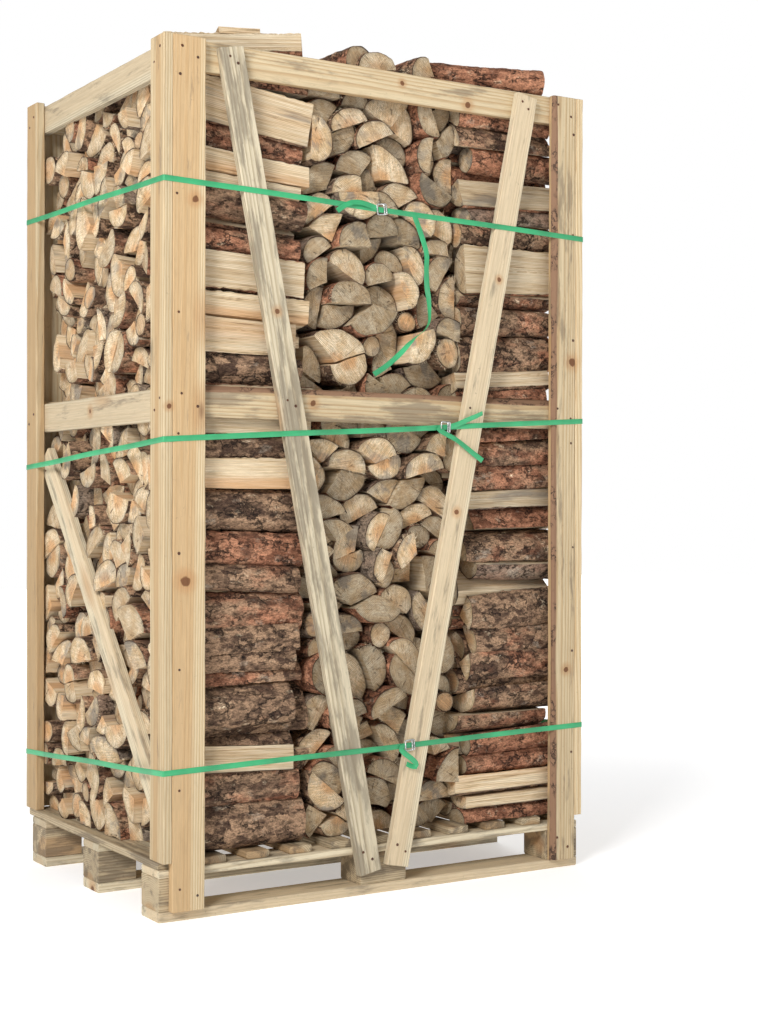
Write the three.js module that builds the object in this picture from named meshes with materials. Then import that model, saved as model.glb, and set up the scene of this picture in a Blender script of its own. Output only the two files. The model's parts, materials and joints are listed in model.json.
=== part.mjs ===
// A crate of split firewood: a block pallet, four corner posts, rails and diagonal braces of sawn
// boards, three plastic straps with wire buckles, and the stacked logs inside.
// Millimetres. +X runs along the wide front, +Y runs from front to back, +Z is up.
// The origin is on the floor, under the middle of the crate.
import * as THREE from 'three';

// Driving dimensions of the whole crate
const crateWidth = 1200;
const crateDepth = 868;
const crateHeight = 2010;
const gap = 0.3; // between pieces that touch

// Pallet
const palletDepth = 798;
const deckDepth = 824;
const deckSetback = 8; // deck boards stop short of the pallet's front face
const runnerWidth = 96;
const runnerHeight = 24;
const blockHeight = 76;
const cornerBlockLength = 100;
const middleBlockLength = 130;
const palletBoardThickness = 18; // stringers and deck boards
const deckBoardWidth = 60;
const deckBoardCount = 11;

// Corner posts: each is a side board and a face plank nailed into an L
const sideBoardThickness = 23;
const sideBoardWidth = 73;
const facePlankThickness = 21;
const leftFacePlankWidth = 82;
const rightFacePlankWidth = 74;
const frontPlankBottom = 25; // the front planks run down over the pallet

// Rails
const railThickness = 22;
const endRailDrop = 8; // the side rails sit a little lower than the front and back ones
const topRailHeight = 70;
const midRailHeight = 75;
const midRailBottom = 1147;

// Braces
const braceThickness = 20.5;
const faceBraceWidth = 63;
const sideBraceWidth = 68;

// Straps and buckles
const strapWidth = 13;
const strapThickness = 0.9;
const buckleWidth = 30;
const buckleHeight = 30;
const buckleWire = 3.5;
const buckleWindow = 8; // height of each of the two windows a strap threads through

// Stacks of logs, left and right ones lying along X and middle ones along Y
const leftStackEnd = -192; // x where the left stack's logs end
const rightStackStart = 241; // x where the right stack's logs start
const stackTop = 2009;
const looseLogLength = 330;

// Places worked out from the driving dimensions
const halfWidth = crateWidth / 2;
const halfDepth = crateDepth / 2;
const palletFront = -halfDepth + facePlankThickness + gap;
const palletBack = palletFront + palletDepth;
const blockBottom = runnerHeight + gap;
const stringerBottom = blockBottom + blockHeight + gap;
const deckBottom = stringerBottom + palletBoardThickness + gap;
const deckTop = deckBottom + palletBoardThickness;
const postBottom = deckTop + gap;
const innerX = halfWidth - sideBoardThickness - gap; // between the side boards
const railFace = halfDepth - facePlankThickness - gap; // outer face of the front and back rails
const stackHalfDepth = railFace - railThickness - gap;
const stackHalfWidth = innerX - railThickness - gap;

const crate = new THREE.Group();

function finish(color, roughness, metalness = 0) {
  return new THREE.MeshStandardMaterial({ color, roughness, metalness });
}

function add(name, geometry, material) {
  const piece = new THREE.Mesh(geometry, material);
  piece.name = name;
  crate.add(piece);
  return piece;
}

// A square-cut board given by its lowest and highest corners
function board(name, material, low, high) {
  const size = high.map((value, axis) => value - low[axis]);
  const piece = add(name, new THREE.BoxGeometry(...size), material);
  piece.position.set(...low.map((value, axis) => value + size[axis] / 2));
  return piece;
}

const newPine = () => finish(0xdcc39a, 0.7);
const palePine = () => finish(0xd6c3a0, 0.75);
const oldPine = () => finish(0xa99a80, 0.85);
const logWood = () => finish(0xb08a5e, 0.85);
const barkWood = () => finish(0x7b5342, 0.9);

const depthRows = {
  front: palletFront + runnerWidth / 2,
  middle: (palletFront + palletBack) / 2,
  back: palletBack - runnerWidth / 2,
};
const widthColumns = {
  left: { centre: -halfWidth + cornerBlockLength / 2, length: cornerBlockLength },
  middle: { centre: 0, length: middleBlockLength },
  right: { centre: halfWidth - cornerBlockLength / 2, length: cornerBlockLength },
};

function addPallet() {
  for (const [row, y] of Object.entries(depthRows)) {
    const near = y - runnerWidth / 2;
    const far = y + runnerWidth / 2;
    board(`runner_${row}`, palePine(), [-halfWidth, near, 0], [halfWidth, far, runnerHeight]);
    for (const [column, { centre, length }] of Object.entries(widthColumns)) {
      board(`block_${row}_${column}`, oldPine(),
        [centre - length / 2, near, blockBottom],
        [centre + length / 2, far, blockBottom + blockHeight]);
    }
    board(`stringer_${row}`, palePine(),
      [-halfWidth, near, stringerBottom],
      [halfWidth, far, stringerBottom + palletBoardThickness]);
  }
  const pitch = (crateWidth - deckBoardWidth) / (deckBoardCount - 1);
  const deckFront = palletFront + deckSetback;
  for (let i = 0; i < deckBoardCount; i += 1) {
    const left = -halfWidth + i * pitch;
    board(`deck_board_${i + 1}`, oldPine(),
      [left, deckFront, deckBottom],
      [left + deckBoardWidth, deckFront + deckDepth - deckSetback, deckTop]);
  }
}

// Low and high of a span that is measured inwards from an outer face on side -1 or 1
function inward(side, outer, from, to) {
  const ends = [side * (outer - from), side * (outer - to)];
  return [Math.min(...ends), Math.max(...ends)];
}

function addPosts() {
  const ends = { front: -1, back: 1 };
  const sides = { left: -1, right: 1 };
  for (const [end, endSign] of Object.entries(ends)) {
    for (const [side, sideSign] of Object.entries(sides)) {
      const boardX = inward(sideSign, halfWidth, 0, sideBoardThickness);
      const boardY = inward(endSign, halfDepth, 0, sideBoardWidth);
      board(`post_board_${end}_${side}`, newPine(),
        [boardX[0], boardY[0], postBottom], [boardX[1], boardY[1], crateHeight]);
      const width = side === 'left' ? leftFacePlankWidth : rightFacePlankWidth;
      const start = sideBoardThickness + gap;
      const plankX = inward(sideSign, halfWidth, start, start + width);
      const plankY = inward(endSign, halfDepth, 0, facePlankThickness);
      const bottom = end === 'front' ? frontPlankBottom : postBottom;
      board(`post_plank_${end}_${side}`, newPine(),
        [plankX[0], plankY[0], bottom], [plankX[1], plankY[1], crateHeight]);
    }
  }
}

function addRails() {
  const levels = {
    top: { bottom: crateHeight - topRailHeight, height: topRailHeight },
    mid: { bottom: midRailBottom, height: midRailHeight },
  };
  for (const [level, { bottom, height }] of Object.entries(levels)) {
    for (const [end, sign] of Object.entries({ front: -1, back: 1 })) {
      const y = inward(sign, railFace, 0, railThickness);
      board(`${level}_rail_${end}`, newPine(),
        [-innerX, y[0], bottom], [innerX, y[1], bottom + height]);
    }
    for (const [side, sign] of Object.entries({ left: -1, right: 1 })) {
      const x = inward(sign, innerX, 0, railThickness);
      board(`${level}_rail_${side}`, palePine(),
        [x[0], -stackHalfDepth, bottom - endRailDrop],
        [x[1], stackHalfDepth, bottom - endRailDrop + height]);
    }
  }
}

// A brace whose middle line runs between two points of an upright plane.
// across and height are the two coordinates in that plane, top end first.
function slopingBoard(name, width, thickness, top, bottom, placeMiddle, turn) {
  const run = top.across - bottom.across;
  const rise = top.height - bottom.height;
  const length = Math.hypot(run, rise);
  const lean = Math.atan2(run, rise);
  const size = turn === 'y' ? [width, thickness, length] : [thickness, width, length];
  const brace = add(name, new THREE.BoxGeometry(...size), palePine());
  brace.rotation[turn] = turn === 'y' ? lean : -lean;
  brace.position.set(...placeMiddle(
    (top.across + bottom.across) / 2, (top.height + bottom.height) / 2));
}

function addBraces() {
  const leftTop = { across: -430, height: 2001 };
  const leftBottom = { across: -48, height: 56 };
  const rightTop = { across: 421, height: 1998 };
  const rightBottom = { across: 28, height: 64 };
  for (const [end, sign] of Object.entries({ front: -1, back: 1 })) {
    const y = sign * (halfDepth - facePlankThickness + braceThickness / 2);
    const place = (across, height) => [across, y, height];
    const drop = end === 'back' ? 100 : 0; // the back pair stops on the deck, above the pallet
    const onDeck = (point) => ({ across: point.across, height: point.height + drop });
    slopingBoard(`brace_${end}_left`, faceBraceWidth, braceThickness,
      leftTop, onDeck(leftBottom), place, 'y');
    slopingBoard(`brace_${end}_right`, faceBraceWidth, braceThickness,
      rightTop, onDeck(rightBottom), place, 'y');
  }
  const sideTop = { across: 366, height: 1075 };
  const sideBottom = { across: -364, height: 228 };
  for (const [side, sign] of Object.entries({ left: -1, right: 1 })) {
    const x = sign * (innerX - railThickness / 2);
    slopingBoard(`brace_${side}`, sideBraceWidth, railThickness,
      sideTop, sideBottom, (across, height) => [x, across, height], 'x');
  }
}

// A strap that runs once round the crate, at its own height on each corner
function bandAround(heights) {
  const inner = { x: halfWidth + gap, y: halfDepth + gap };
  const outer = { x: inner.x + strapThickness, y: inner.y + strapThickness };
  const corners = [[-1, -1], [1, -1], [1, 1], [-1, 1]];
  const positions = [];
  corners.forEach(([signX, signY], i) => {
    const low = heights[i] - strapWidth / 2;
    const high = heights[i] + strapWidth / 2;
    positions.push(signX * inner.x, signY * inner.y, low);
    positions.push(signX * outer.x, signY * outer.y, low);
    positions.push(signX * outer.x, signY * outer.y, high);
    positions.push(signX * inner.x, signY * inner.y, high);
  });
  const faces = [];
  for (let i = 0; i < corners.length; i += 1) {
    const here = i * 4;
    const next = ((i + 1) % corners.length) * 4;
    for (let k = 0; k < 4; k += 1) {
      const other = (k + 1) % 4;
      faces.push(here + k, next + k, next + other);
      faces.push(here + k, next + other, here + other);
    }
  }
  const band = new THREE.BufferGeometry();
  band.setAttribute('position', new THREE.Float32BufferAttribute(positions, 3));
  band.setIndex(faces);
  band.computeVertexNormals();
  return band;
}

function rectangle(path, left, right, low, high) {
  path.moveTo(left, low);
  path.lineTo(right, low);
  path.lineTo(right, high);
  path.lineTo(left, high);
  path.closePath();
  return path;
}

// A bent-wire buckle, seen from the front as a frame with two windows, one above the other
function buckleShape() {
  const halfX = buckleWidth / 2;
  const halfZ = buckleHeight / 2;
  const shape = rectangle(new THREE.Shape(), -halfX, halfX, -halfZ, halfZ);
  for (const side of [-1, 1]) {
    const centre = side * (buckleWindow + buckleWire) / 2;
    shape.holes.push(rectangle(new THREE.Path(), -halfX + buckleWire, halfX - buckleWire,
      centre - buckleWindow / 2, centre + buckleWindow / 2));
  }
  return new THREE.ExtrudeGeometry(shape, { depth: buckleWire, bevelEnabled: false });
}

function addStraps() {
  // heights at the front left, front right, back right and back left corners
  const straps = {
    top: { heights: [1683, 1644, 1662, 1701], buckleX: -24 },
    middle: { heights: [1095, 1168, 1119, 1046], buckleX: 164 },
    bottom: { heights: [342, 373, 317, 286], buckleX: 60 },
  };
  for (const [level, { heights, buckleX }] of Object.entries(straps)) {
    add(`strap_${level}`, bandAround(heights), finish(0x2fb574, 0.35));
    const slope = (heights[1] - heights[0]) / crateWidth;
    const buckle = add(`buckle_${level}`, buckleShape(), finish(0xc9ccce, 0.35, 0.9));
    buckle.rotation.set(Math.PI / 2, 0, 0);
    buckle.position.set(buckleX, -halfDepth - gap - strapThickness - gap,
      heights[0] + slope * (buckleX + halfWidth));
  }
}

function addStacks() {
  const low = -stackHalfDepth;
  const high = stackHalfDepth;
  board('logs_left', logWood(),
    [-stackHalfWidth, low, postBottom], [leftStackEnd, high, stackTop]);
  board('logs_middle', logWood(),
    [leftStackEnd + gap, low, postBottom], [rightStackStart - gap, high, stackTop]);
  board('logs_right', logWood(),
    [rightStackStart, low, postBottom], [stackHalfWidth, high, stackTop]);
}

// A log cut straight at both ends, lying along X about its middle
function logAlongX(section, length) {
  const log = new THREE.ExtrudeGeometry(section, { depth: length, bevelEnabled: false });
  log.translate(0, 0, -length / 2);
  log.rotateY(Math.PI / 2);
  return log;
}

function roundSection(radius) {
  return new THREE.Shape().absarc(0, 0, radius, 0, Math.PI * 2);
}

// A half round, its flat split face a little below the middle of the stem
function halfRoundSection(radius, height) {
  const start = Math.acos((height - radius) / radius);
  return new THREE.Shape().absarc(0, 0, radius, start, Math.PI * 2 - start);
}

function addLooseLogs() {
  const wedge = new THREE.Shape([
    new THREE.Vector2(0, -37), new THREE.Vector2(0, 30),
    new THREE.Vector2(-34, 26), new THREE.Vector2(-52, -4),
  ]);
  const left = add('loose_log_left', logAlongX(wedge, looseLogLength), newPine());
  left.rotation.z = -THREE.MathUtils.degToRad(29);
  left.position.set(-352, -288, crateHeight + 2 * gap);

  const middleRadius = 39;
  const middleHeight = 72;
  const middle = add('loose_log_middle',
    logAlongX(halfRoundSection(middleRadius, middleHeight), looseLogLength), barkWood());
  middle.rotation.z = Math.PI / 2 + THREE.MathUtils.degToRad(2);
  middle.position.set(-36, -172, stackTop + gap + middleHeight - middleRadius);

  const rightRadius = 34;
  const right = add('loose_log_right',
    logAlongX(roundSection(rightRadius), looseLogLength), barkWood());
  right.rotation.z = -THREE.MathUtils.degToRad(15);
  right.position.set(334, -344, crateHeight + 2 * gap + rightRadius);
}

addPallet();
addPosts();
addRails();
addBraces();
addStraps();
addStacks();
addLooseLogs();

export default crate;
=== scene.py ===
import json
import math
import random
import time

import bmesh
import bpy
import numpy as np
from mathutils import Matrix, Vector


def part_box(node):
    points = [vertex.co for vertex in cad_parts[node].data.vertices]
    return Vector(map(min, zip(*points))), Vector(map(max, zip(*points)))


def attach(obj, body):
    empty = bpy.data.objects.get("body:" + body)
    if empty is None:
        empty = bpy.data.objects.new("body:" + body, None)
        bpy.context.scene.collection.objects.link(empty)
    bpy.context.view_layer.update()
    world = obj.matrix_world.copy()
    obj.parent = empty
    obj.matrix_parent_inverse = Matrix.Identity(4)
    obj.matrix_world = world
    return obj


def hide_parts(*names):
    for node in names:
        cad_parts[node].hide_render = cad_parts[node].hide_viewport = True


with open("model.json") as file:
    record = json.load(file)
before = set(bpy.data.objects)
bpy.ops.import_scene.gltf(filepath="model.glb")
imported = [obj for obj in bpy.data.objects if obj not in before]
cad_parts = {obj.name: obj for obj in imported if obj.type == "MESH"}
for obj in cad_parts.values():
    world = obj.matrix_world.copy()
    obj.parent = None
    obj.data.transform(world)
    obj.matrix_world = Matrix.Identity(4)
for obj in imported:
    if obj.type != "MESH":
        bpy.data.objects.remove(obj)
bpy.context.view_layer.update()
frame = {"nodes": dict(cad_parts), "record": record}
startedAt = time.time()
slotOf = {part["node"]: part["material_slot"] for part in frame["record"]["subparts"]}


def report(stage):
    print(f"{stage}, {time.time() - startedAt:.0f} s")


# helpers for meshes

def newObject(name, points, faces):
    mesh = bpy.data.meshes.new(name)
    mesh.from_pydata(np.asarray(points, float).tolist(), [], faces)
    made = bpy.data.objects.new(name, mesh)
    bpy.context.scene.collection.objects.link(made)
    return made


def storeValues(mesh, name, kind, values):
    attribute = mesh.attributes.new(name, kind, "POINT")
    field = "vector" if kind == "FLOAT_VECTOR" else "value"
    attribute.data.foreach_set(field, np.asarray(values, np.float32).ravel())


def turnOutwards(mesh):
    shell = bmesh.new()
    shell.from_mesh(mesh)
    bmesh.ops.recalc_face_normals(shell, faces=shell.faces)
    shell.to_mesh(mesh)
    shell.free()


def finishedWith(made, tree, values):
    # runs a geometry tree on an object and keeps the result as its plain mesh
    modifier = made.modifiers.new(tree.name, "NODES")
    modifier.node_group = tree
    for item in tree.interface.items_tree:
        if item.item_type == "SOCKET" and item.in_out == "INPUT" and item.name in values:
            modifier[item.identifier] = values[item.name]
    result = bpy.data.meshes.new_from_object(made.evaluated_get(bpy.context.evaluated_depsgraph_get()))
    made.modifiers.remove(modifier)
    old = made.data
    made.data = result
    bpy.data.meshes.remove(old)


def settle(made, slot, *nodes):
    # every piece of the crate rides on the one body and stands for its solids
    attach(made, "root")
    if nodes:
        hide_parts(*nodes)


# helpers for node trees

class Wires:
    # adds nodes to one tree; an input takes a number, a colour or another node's socket

    def __init__(self, tree):
        self.tree = tree

    def feed(self, made, links):
        for key, value in links.items():
            if isinstance(value, bpy.types.NodeSocket):
                self.tree.links.new(value, made.inputs[key])
            else:
                made.inputs[key].default_value = value

    def node(self, kind, links=None, **settings):
        made = self.tree.nodes.new(kind)
        for key, value in settings.items():
            setattr(made, key, value)
        self.feed(made, links or {})
        return made

    def math(self, operation, a, b=0.0):
        return self.node("ShaderNodeMath", {0: a, 1: b}, operation=operation).outputs[0]

    def plus(self, a, b):
        return self.math("ADD", a, b)

    def minus(self, a, b):
        return self.math("SUBTRACT", a, b)

    def times(self, a, b):
        return self.math("MULTIPLY", a, b)

    def vector(self, operation, a, b=(0, 0, 0)):
        return self.node("ShaderNodeVectorMath", {0: a, 1: b}, operation=operation).outputs[0]

    def drawn(self, stem, share):
        # a pattern read from this is drawn out along the stem
        return self.vector("MULTIPLY", stem, (1, 1, share))

    def length(self, a):
        return self.node("ShaderNodeVectorMath", {0: a}, operation="LENGTH").outputs["Value"]

    def parts(self, a):
        return self.node("ShaderNodeSeparateXYZ", {0: a}).outputs

    def joined(self, x, y, z):
        return self.node("ShaderNodeCombineXYZ", {0: x, 1: y, 2: z}).outputs[0]

    def noise(self, at, scale, detail=3.0, roughness=0.55):
        links = {"Vector": at, "Scale": scale, "Detail": detail, "Roughness": roughness}
        return self.node("ShaderNodeTexNoise", links).outputs[0]

    def cells(self, at, scale, feature="F1"):
        return self.node("ShaderNodeTexVoronoi", {"Vector": at, "Scale": scale}, feature=feature).outputs

    def ease(self, value, low, high, toLow=0.0, toHigh=1.0):
        links = {"Value": value, "From Min": low, "From Max": high, "To Min": toLow, "To Max": toHigh}
        return self.node("ShaderNodeMapRange", links, interpolation_type="SMOOTHSTEP").outputs[0]

    def blend(self, share, a, b, mode="MIX"):
        links = {0: share, 6: a, 7: b}
        return self.node("ShaderNodeMix", links, data_type="RGBA", blend_type=mode).outputs[2]

    def tint(self, color, mask, amount, other):
        return self.blend(self.times(mask, amount), color, other)

    def shaded(self, color, level):
        return self.blend(1.0, color, self.joined(level, level, level), "MULTIPLY")

    def attribute(self, name, output="Fac"):
        return self.node("ShaderNodeAttribute", attribute_name=name).outputs[output]


def placeGroup(wires, tree, links):
    return wires.node("ShaderNodeGroup", links, node_tree=tree).outputs


def newTree(name, kind, inputs, outputs):
    tree = bpy.data.node_groups.new(name, kind)
    for label, socketType, value in inputs:
        socket = tree.interface.new_socket(name=label, in_out="INPUT", socket_type=socketType)
        if value is not None:
            socket.default_value = value
    for label, socketType in outputs:
        tree.interface.new_socket(name=label, in_out="OUTPUT", socket_type=socketType)
    wires = Wires(tree)
    return tree, wires, wires.node("NodeGroupInput").outputs, wires.node("NodeGroupOutput")


def paint(red, green, blue):
    # screen colour, 0 to 255, as the linear colour a shader socket takes
    linear = [((c / 255 + 0.055) / 1.055) ** 2.4 if c > 10 else c / 3294 for c in (red, green, blue)]
    return (*linear, 1.0)


def newMaterial(name, preview):
    material = bpy.data.materials.new(name)
    material.use_nodes = True
    material.diffuse_color = preview
    wires = Wires(material.node_tree)
    shader = material.node_tree.nodes["Principled BSDF"]
    return material, wires, shader


def bumpOf(wires, height, distance, strength=1.0):
    links = {"Height": height, "Distance": distance, "Strength": strength}
    return wires.node("ShaderNodeBump", links).outputs[0]


# effects that several finishes share
# "stem" holds each point's place in its tree stem: across, across, along, in metres from the pith

def buildStemGrain():
    tree, w, given, made = newTree(
        "stemGrain", "ShaderNodeTree",
        [("Stem", "NodeSocketVector", None), ("Ring Gap", "NodeSocketFloat", 0.004),
         ("Wobble", "NodeSocketFloat", 0.004)],
        [("Rings", "NodeSocketFloat"), ("Radius", "NodeSocketFloat"), ("Fibres", "NodeSocketFloat")])
    stem = given["Stem"]
    bent = w.noise(w.drawn(stem, 0.12), 22.0, 2.0)
    shift = w.times(w.minus(bent, 0.5), given["Wobble"])
    across = w.drawn(stem, 0)
    radius = w.plus(w.length(across), shift)
    phase = w.math("FRACT", w.math("DIVIDE", radius, given["Ring Gap"]))
    late = w.times(w.ease(phase, 0.35, 0.85), w.ease(phase, 0.88, 1.0, 1.0, 0.0))
    fibres = w.noise(w.drawn(stem, 0.025), 620.0, 3.0, 0.7)
    w.feed(made, {"Rings": late, "Radius": radius, "Fibres": fibres})
    return tree


def plateNodes(w, stem, size):
    # flaky bark: ragged scales laid along the stem, opened here and there by cracks
    coarse = w.node("ShaderNodeTexNoise", {"Vector": stem, "Scale": 34.0, "Detail": 4.0, "Roughness": 0.65})
    sway = w.vector("SUBTRACT", coarse.outputs["Color"], (0.5, 0.5, 0.5))
    sway = w.vector("MULTIPLY", sway, (0.045, 0.045, 0.07))
    laid = w.vector("MULTIPLY", w.vector("ADD", stem, sway), (1, 1, 0.5))
    scale = w.math("DIVIDE", 1.0, size)
    edge = w.ease(w.cells(laid, scale, "DISTANCE_TO_EDGE")["Distance"], 0.0, 0.16)
    opened = w.ease(w.noise(w.drawn(stem, 0.6), 30.0, 2.0), 0.44, 0.6)
    joint = w.minus(1.0, w.times(w.minus(1.0, edge), opened))
    pick = w.cells(laid, scale)["Color"]
    scales = w.noise(w.drawn(stem, 0.55), 110.0, 5.0, 0.68)
    steps = w.times(w.parts(pick)[0], 0.35)
    flakes = w.plus(w.plus(0.2, steps), scales)
    return w.times(w.ease(joint, 0.0, 1.0, 0.35, 1.0), flakes), joint, pick, scales


def buildBarkPlates():
    tree, w, given, made = newTree(
        "barkPlates", "ShaderNodeTree",
        [("Stem", "NodeSocketVector", None), ("Plate Size", "NodeSocketFloat", 0.02)],
        [("Height", "NodeSocketFloat"), ("Joint", "NodeSocketFloat"), ("Pick", "NodeSocketColor"),
         ("Scales", "NodeSocketFloat")])
    height, joint, pick, scales = plateNodes(w, given["Stem"], given["Plate Size"])
    w.feed(made, {"Height": height, "Joint": joint, "Pick": pick, "Scales": scales})
    return tree


def buildGrime():
    tree, w, given, made = newTree(
        "grime", "ShaderNodeTree",
        [("Position", "NodeSocketVector", None), ("Size", "NodeSocketFloat", 0.05),
         ("Cover", "NodeSocketFloat", 0.4)],
        [("Mask", "NodeSocketFloat")])
    scale = w.math("DIVIDE", 1.0, given["Size"])
    cloud = w.noise(given["Position"], scale, 5.0, 0.65)
    low = w.minus(0.72, w.times(given["Cover"], 0.45))
    w.feed(made, {"Mask": w.ease(cloud, low, w.plus(low, 0.14))})
    return tree


def buildKnot():
    tree, w, given, made = newTree(
        "knot", "ShaderNodeTree",
        [("Position", "NodeSocketVector", None), ("Middle", "NodeSocketVector", None),
         ("Radius", "NodeSocketFloat", 0.01)],
        [("Core", "NodeSocketFloat"), ("Halo", "NodeSocketFloat")])
    away = w.vector("SUBTRACT", given["Position"], given["Middle"])
    uneven = w.times(w.minus(w.noise(given["Position"], 70.0, 2.0), 0.5), 0.9)
    reach = w.plus(w.math("DIVIDE", w.length(away), given["Radius"]), uneven)
    w.feed(made, {"Core": w.ease(reach, 0.75, 1.05, 1.0, 0.0), "Halo": w.ease(reach, 0.8, 3.2, 1.0, 0.0)})
    return tree


stemGrain = buildStemGrain()
barkPlates = buildBarkPlates()
grime = buildGrime()
knotGroup = buildKnot()


# sawn boards

boardFinishes = {
    "new_pine": {"sap": paint(218, 199, 163), "line": paint(188, 155, 112), "heart": paint(198, 163, 118),
                 "stain": paint(112, 98, 84), "stainCover": 0.24, "ringGap": 0.0058, "spots": 0.2},
    "pale_pine": {"sap": paint(222, 209, 180), "line": paint(178, 160, 130), "heart": paint(212, 190, 156),
                  "stain": paint(104, 94, 82), "stainCover": 0.44, "ringGap": 0.005, "spots": 0.22},
    "old_pine": {"sap": paint(200, 182, 150), "line": paint(150, 128, 98), "heart": paint(178, 144, 104),
                 "stain": paint(84, 74, 64), "stainCover": 0.58, "ringGap": 0.005, "spots": 0.3},
}
knotColors = {"halo": paint(186, 136, 88), "core": paint(112, 70, 44),
              "smallHalo": paint(176, 128, 80), "smallCore": paint(104, 66, 42)}
waneColors = {"bark": paint(58, 42, 34), "joint": paint(140, 108, 84)}
knotPlaces = {  # middle and radius of the larger knots
    "new_pine": (
        ((-0.545, -0.434, 0.775), 0.013), ((-0.521, -0.434, 1.642), 0.009), ((-0.586, -0.434, 1.17), 0.006),
        ((0.246, -0.413, 1.955), 0.009), ((0.05, -0.413, 1.985), 0.006), ((0.565, -0.434, 1.32), 0.011),
        ((0.548, -0.434, 0.52), 0.008), ((-0.2, -0.413, 1.19), 0.008)),
    "pale_pine": (
        ((-0.6, -0.4, 1.35), 0.006), ((-0.31, -0.434, 1.4), 0.007), ((0.2, -0.434, 0.93), 0.007),
        ((-0.57, 0.05, 1.18), 0.009), ((0.33, -0.434, 1.52), 0.006)),
    "old_pine": (((-0.3, -0.41, 0.012), 0.007),),
}


def boardMaterial(name, look):
    material, w, shader = newMaterial(name, look["sap"])
    stem = w.attribute("stem", "Vector")
    place = w.node("ShaderNodeTexCoord").outputs["Object"]
    tone = w.attribute("tone")
    grain = placeGroup(w, stemGrain, {"Stem": stem, "Ring Gap": look["ringGap"], "Wobble": 0.007})
    heart = w.ease(grain["Radius"], 0.036, 0.048, 1.0, 0.0)
    # small knots: sparse round cells along the board
    knotAt = w.vector("MULTIPLY", stem, (7.0, 7.0, 2.6))
    knot = w.cells(knotAt, 1.0)
    near = w.node("ShaderNodeTexVoronoi", {"Vector": knotAt, "Scale": 1.0}).outputs["Distance"]
    rare = w.ease(w.parts(knot["Color"])[1], 0.62, 0.66)
    core = w.times(w.ease(near, 0.055, 0.1, 1.0, 0.0), rare)
    halo = w.times(w.ease(near, 0.08, 0.26, 1.0, 0.0), rare)
    streak = w.noise(w.drawn(stem, 0.05), 95.0, 3.0, 0.6)
    cover = w.times(w.attribute("dirt"), look["stainCover"])
    dirt = placeGroup(w, grime, {"Position": w.drawn(stem, 0.16), "Size": 0.03, "Cover": cover})["Mask"]
    spots = placeGroup(w, grime, {"Position": place, "Size": 0.012, "Cover": look["spots"]})["Mask"]
    color = w.blend(w.times(grain["Rings"], 0.7), look["sap"], look["line"])
    color = w.tint(color, heart, 0.75, look["heart"])
    color = w.blend(w.ease(streak, 0.35, 0.75, 0.0, 0.3), color, look["line"])
    color = w.tint(color, dirt, 0.55, look["stain"])
    color = w.tint(color, spots, 0.4, look["stain"])
    color = w.tint(color, halo, 0.5, knotColors["smallHalo"])
    color = w.tint(color, core, 0.85, knotColors["smallCore"])
    for middle, radius in knotPlaces[name]:
        marked = placeGroup(w, knotGroup, {"Position": place, "Middle": middle, "Radius": radius})
        color = w.tint(color, marked["Halo"], 0.55, knotColors["halo"])
        color = w.tint(color, marked["Core"], 0.9, knotColors["core"])
    fibreShade = w.ease(grain["Fibres"], 0.3, 0.7, 0.86, 1.06)
    ownShade = w.node("ShaderNodeMapRange", {"Value": tone, "To Min": 0.76, "To Max": 1.06}).outputs[0]
    shade = w.times(fibreShade, ownShade)
    color = w.shaded(color, shade)
    # wane: the strip of bark left along a board's edge
    bark = placeGroup(w, barkPlates, {"Stem": stem, "Plate Size": 0.014})
    wane = w.ease(w.attribute("wane"), 0.3, 0.6)
    waneColor = w.blend(bark["Joint"], waneColors["bark"], waneColors["joint"])
    color = w.blend(wane, color, waneColor)
    rough = w.ease(grain["Fibres"], 0.2, 0.8, 0.62, 0.84)
    height = w.plus(w.times(grain["Fibres"], 0.5), w.times(grain["Rings"], 0.35))
    height = w.minus(height, w.times(core, 0.6))
    w.feed(shader, {"Base Color": color, "Roughness": rough, "Normal": bumpOf(w, height, 0.0011, 0.8)})
    shader.inputs["Specular IOR Level"].default_value = 0.28
    return material


boardMaterials = {name: boardMaterial(name, look) for name, look in boardFinishes.items()}

boardLook = {
    "seed": 900,
    "stationGap": 0.035,  # along the board
    "endGap": 0.0012,
    "arris": 0.0013,  # width of the worn edge
    "arrisWear": 0.0022,
    "endArris": 0.0011,
    "warp": 0.0006,
    "raggedEnds": {"brace_front_left": 0.010, "brace_front_right": 0.003},
    "wane": {"post_plank_front_right": 0, "mid_rail_front": 2, "brace_left": 1},
    "dirt": {"mid_rail_front": 2.6, "top_rail_front": 1.7, "brace_front_left": 1.5, "brace_front_right": 0.9,
             "post_plank_front_right": 2.0, "post_plank_front_left": 0.9},
    "tone": {"post_plank_front_left": 0.7, "post_plank_front_right": 0.45, "top_rail_front": 0.6,
             "post_board_front_left": 0.3, "post_board_back_left": 0.1, "post_plank_back_left": 0.1,
             "mid_rail_front": 0.4, "brace_front_left": 0.5, "brace_front_right": 0.95, "runner_front": 0.8},
    "pith": {"post_plank_front_left": (-0.018, 0.012), "post_board_front_left": (0.0, 0.05)},
}


def solidFrame(node):
    # middle, axes and half sizes of a square-cut solid, longest axis first
    corners = np.array([v.co for v in frame["nodes"][node].data.vertices], float)
    middle = (corners.min(0) + corners.max(0)) / 2
    spread = corners - middle
    values, axes = np.linalg.eigh(spread.T @ spread)
    axes = axes[:, np.argsort(-values)].T
    for axis in axes[:2]:
        if axis[np.argmax(np.abs(axis))] < 0:
            axis *= -1
    axes[2] = np.cross(axes[0], axes[1])
    return middle, axes, np.abs(spread @ axes.T).max(0)


def smoothNoise(chance, count, softness):
    rough = np.array([chance.uniform(-1, 1) for _ in range(count + 2 * softness)])
    soft = np.convolve(rough, np.hanning(2 * softness + 1), "same")[softness:softness + count]
    return soft / max(1e-6, np.abs(soft).max())


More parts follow.
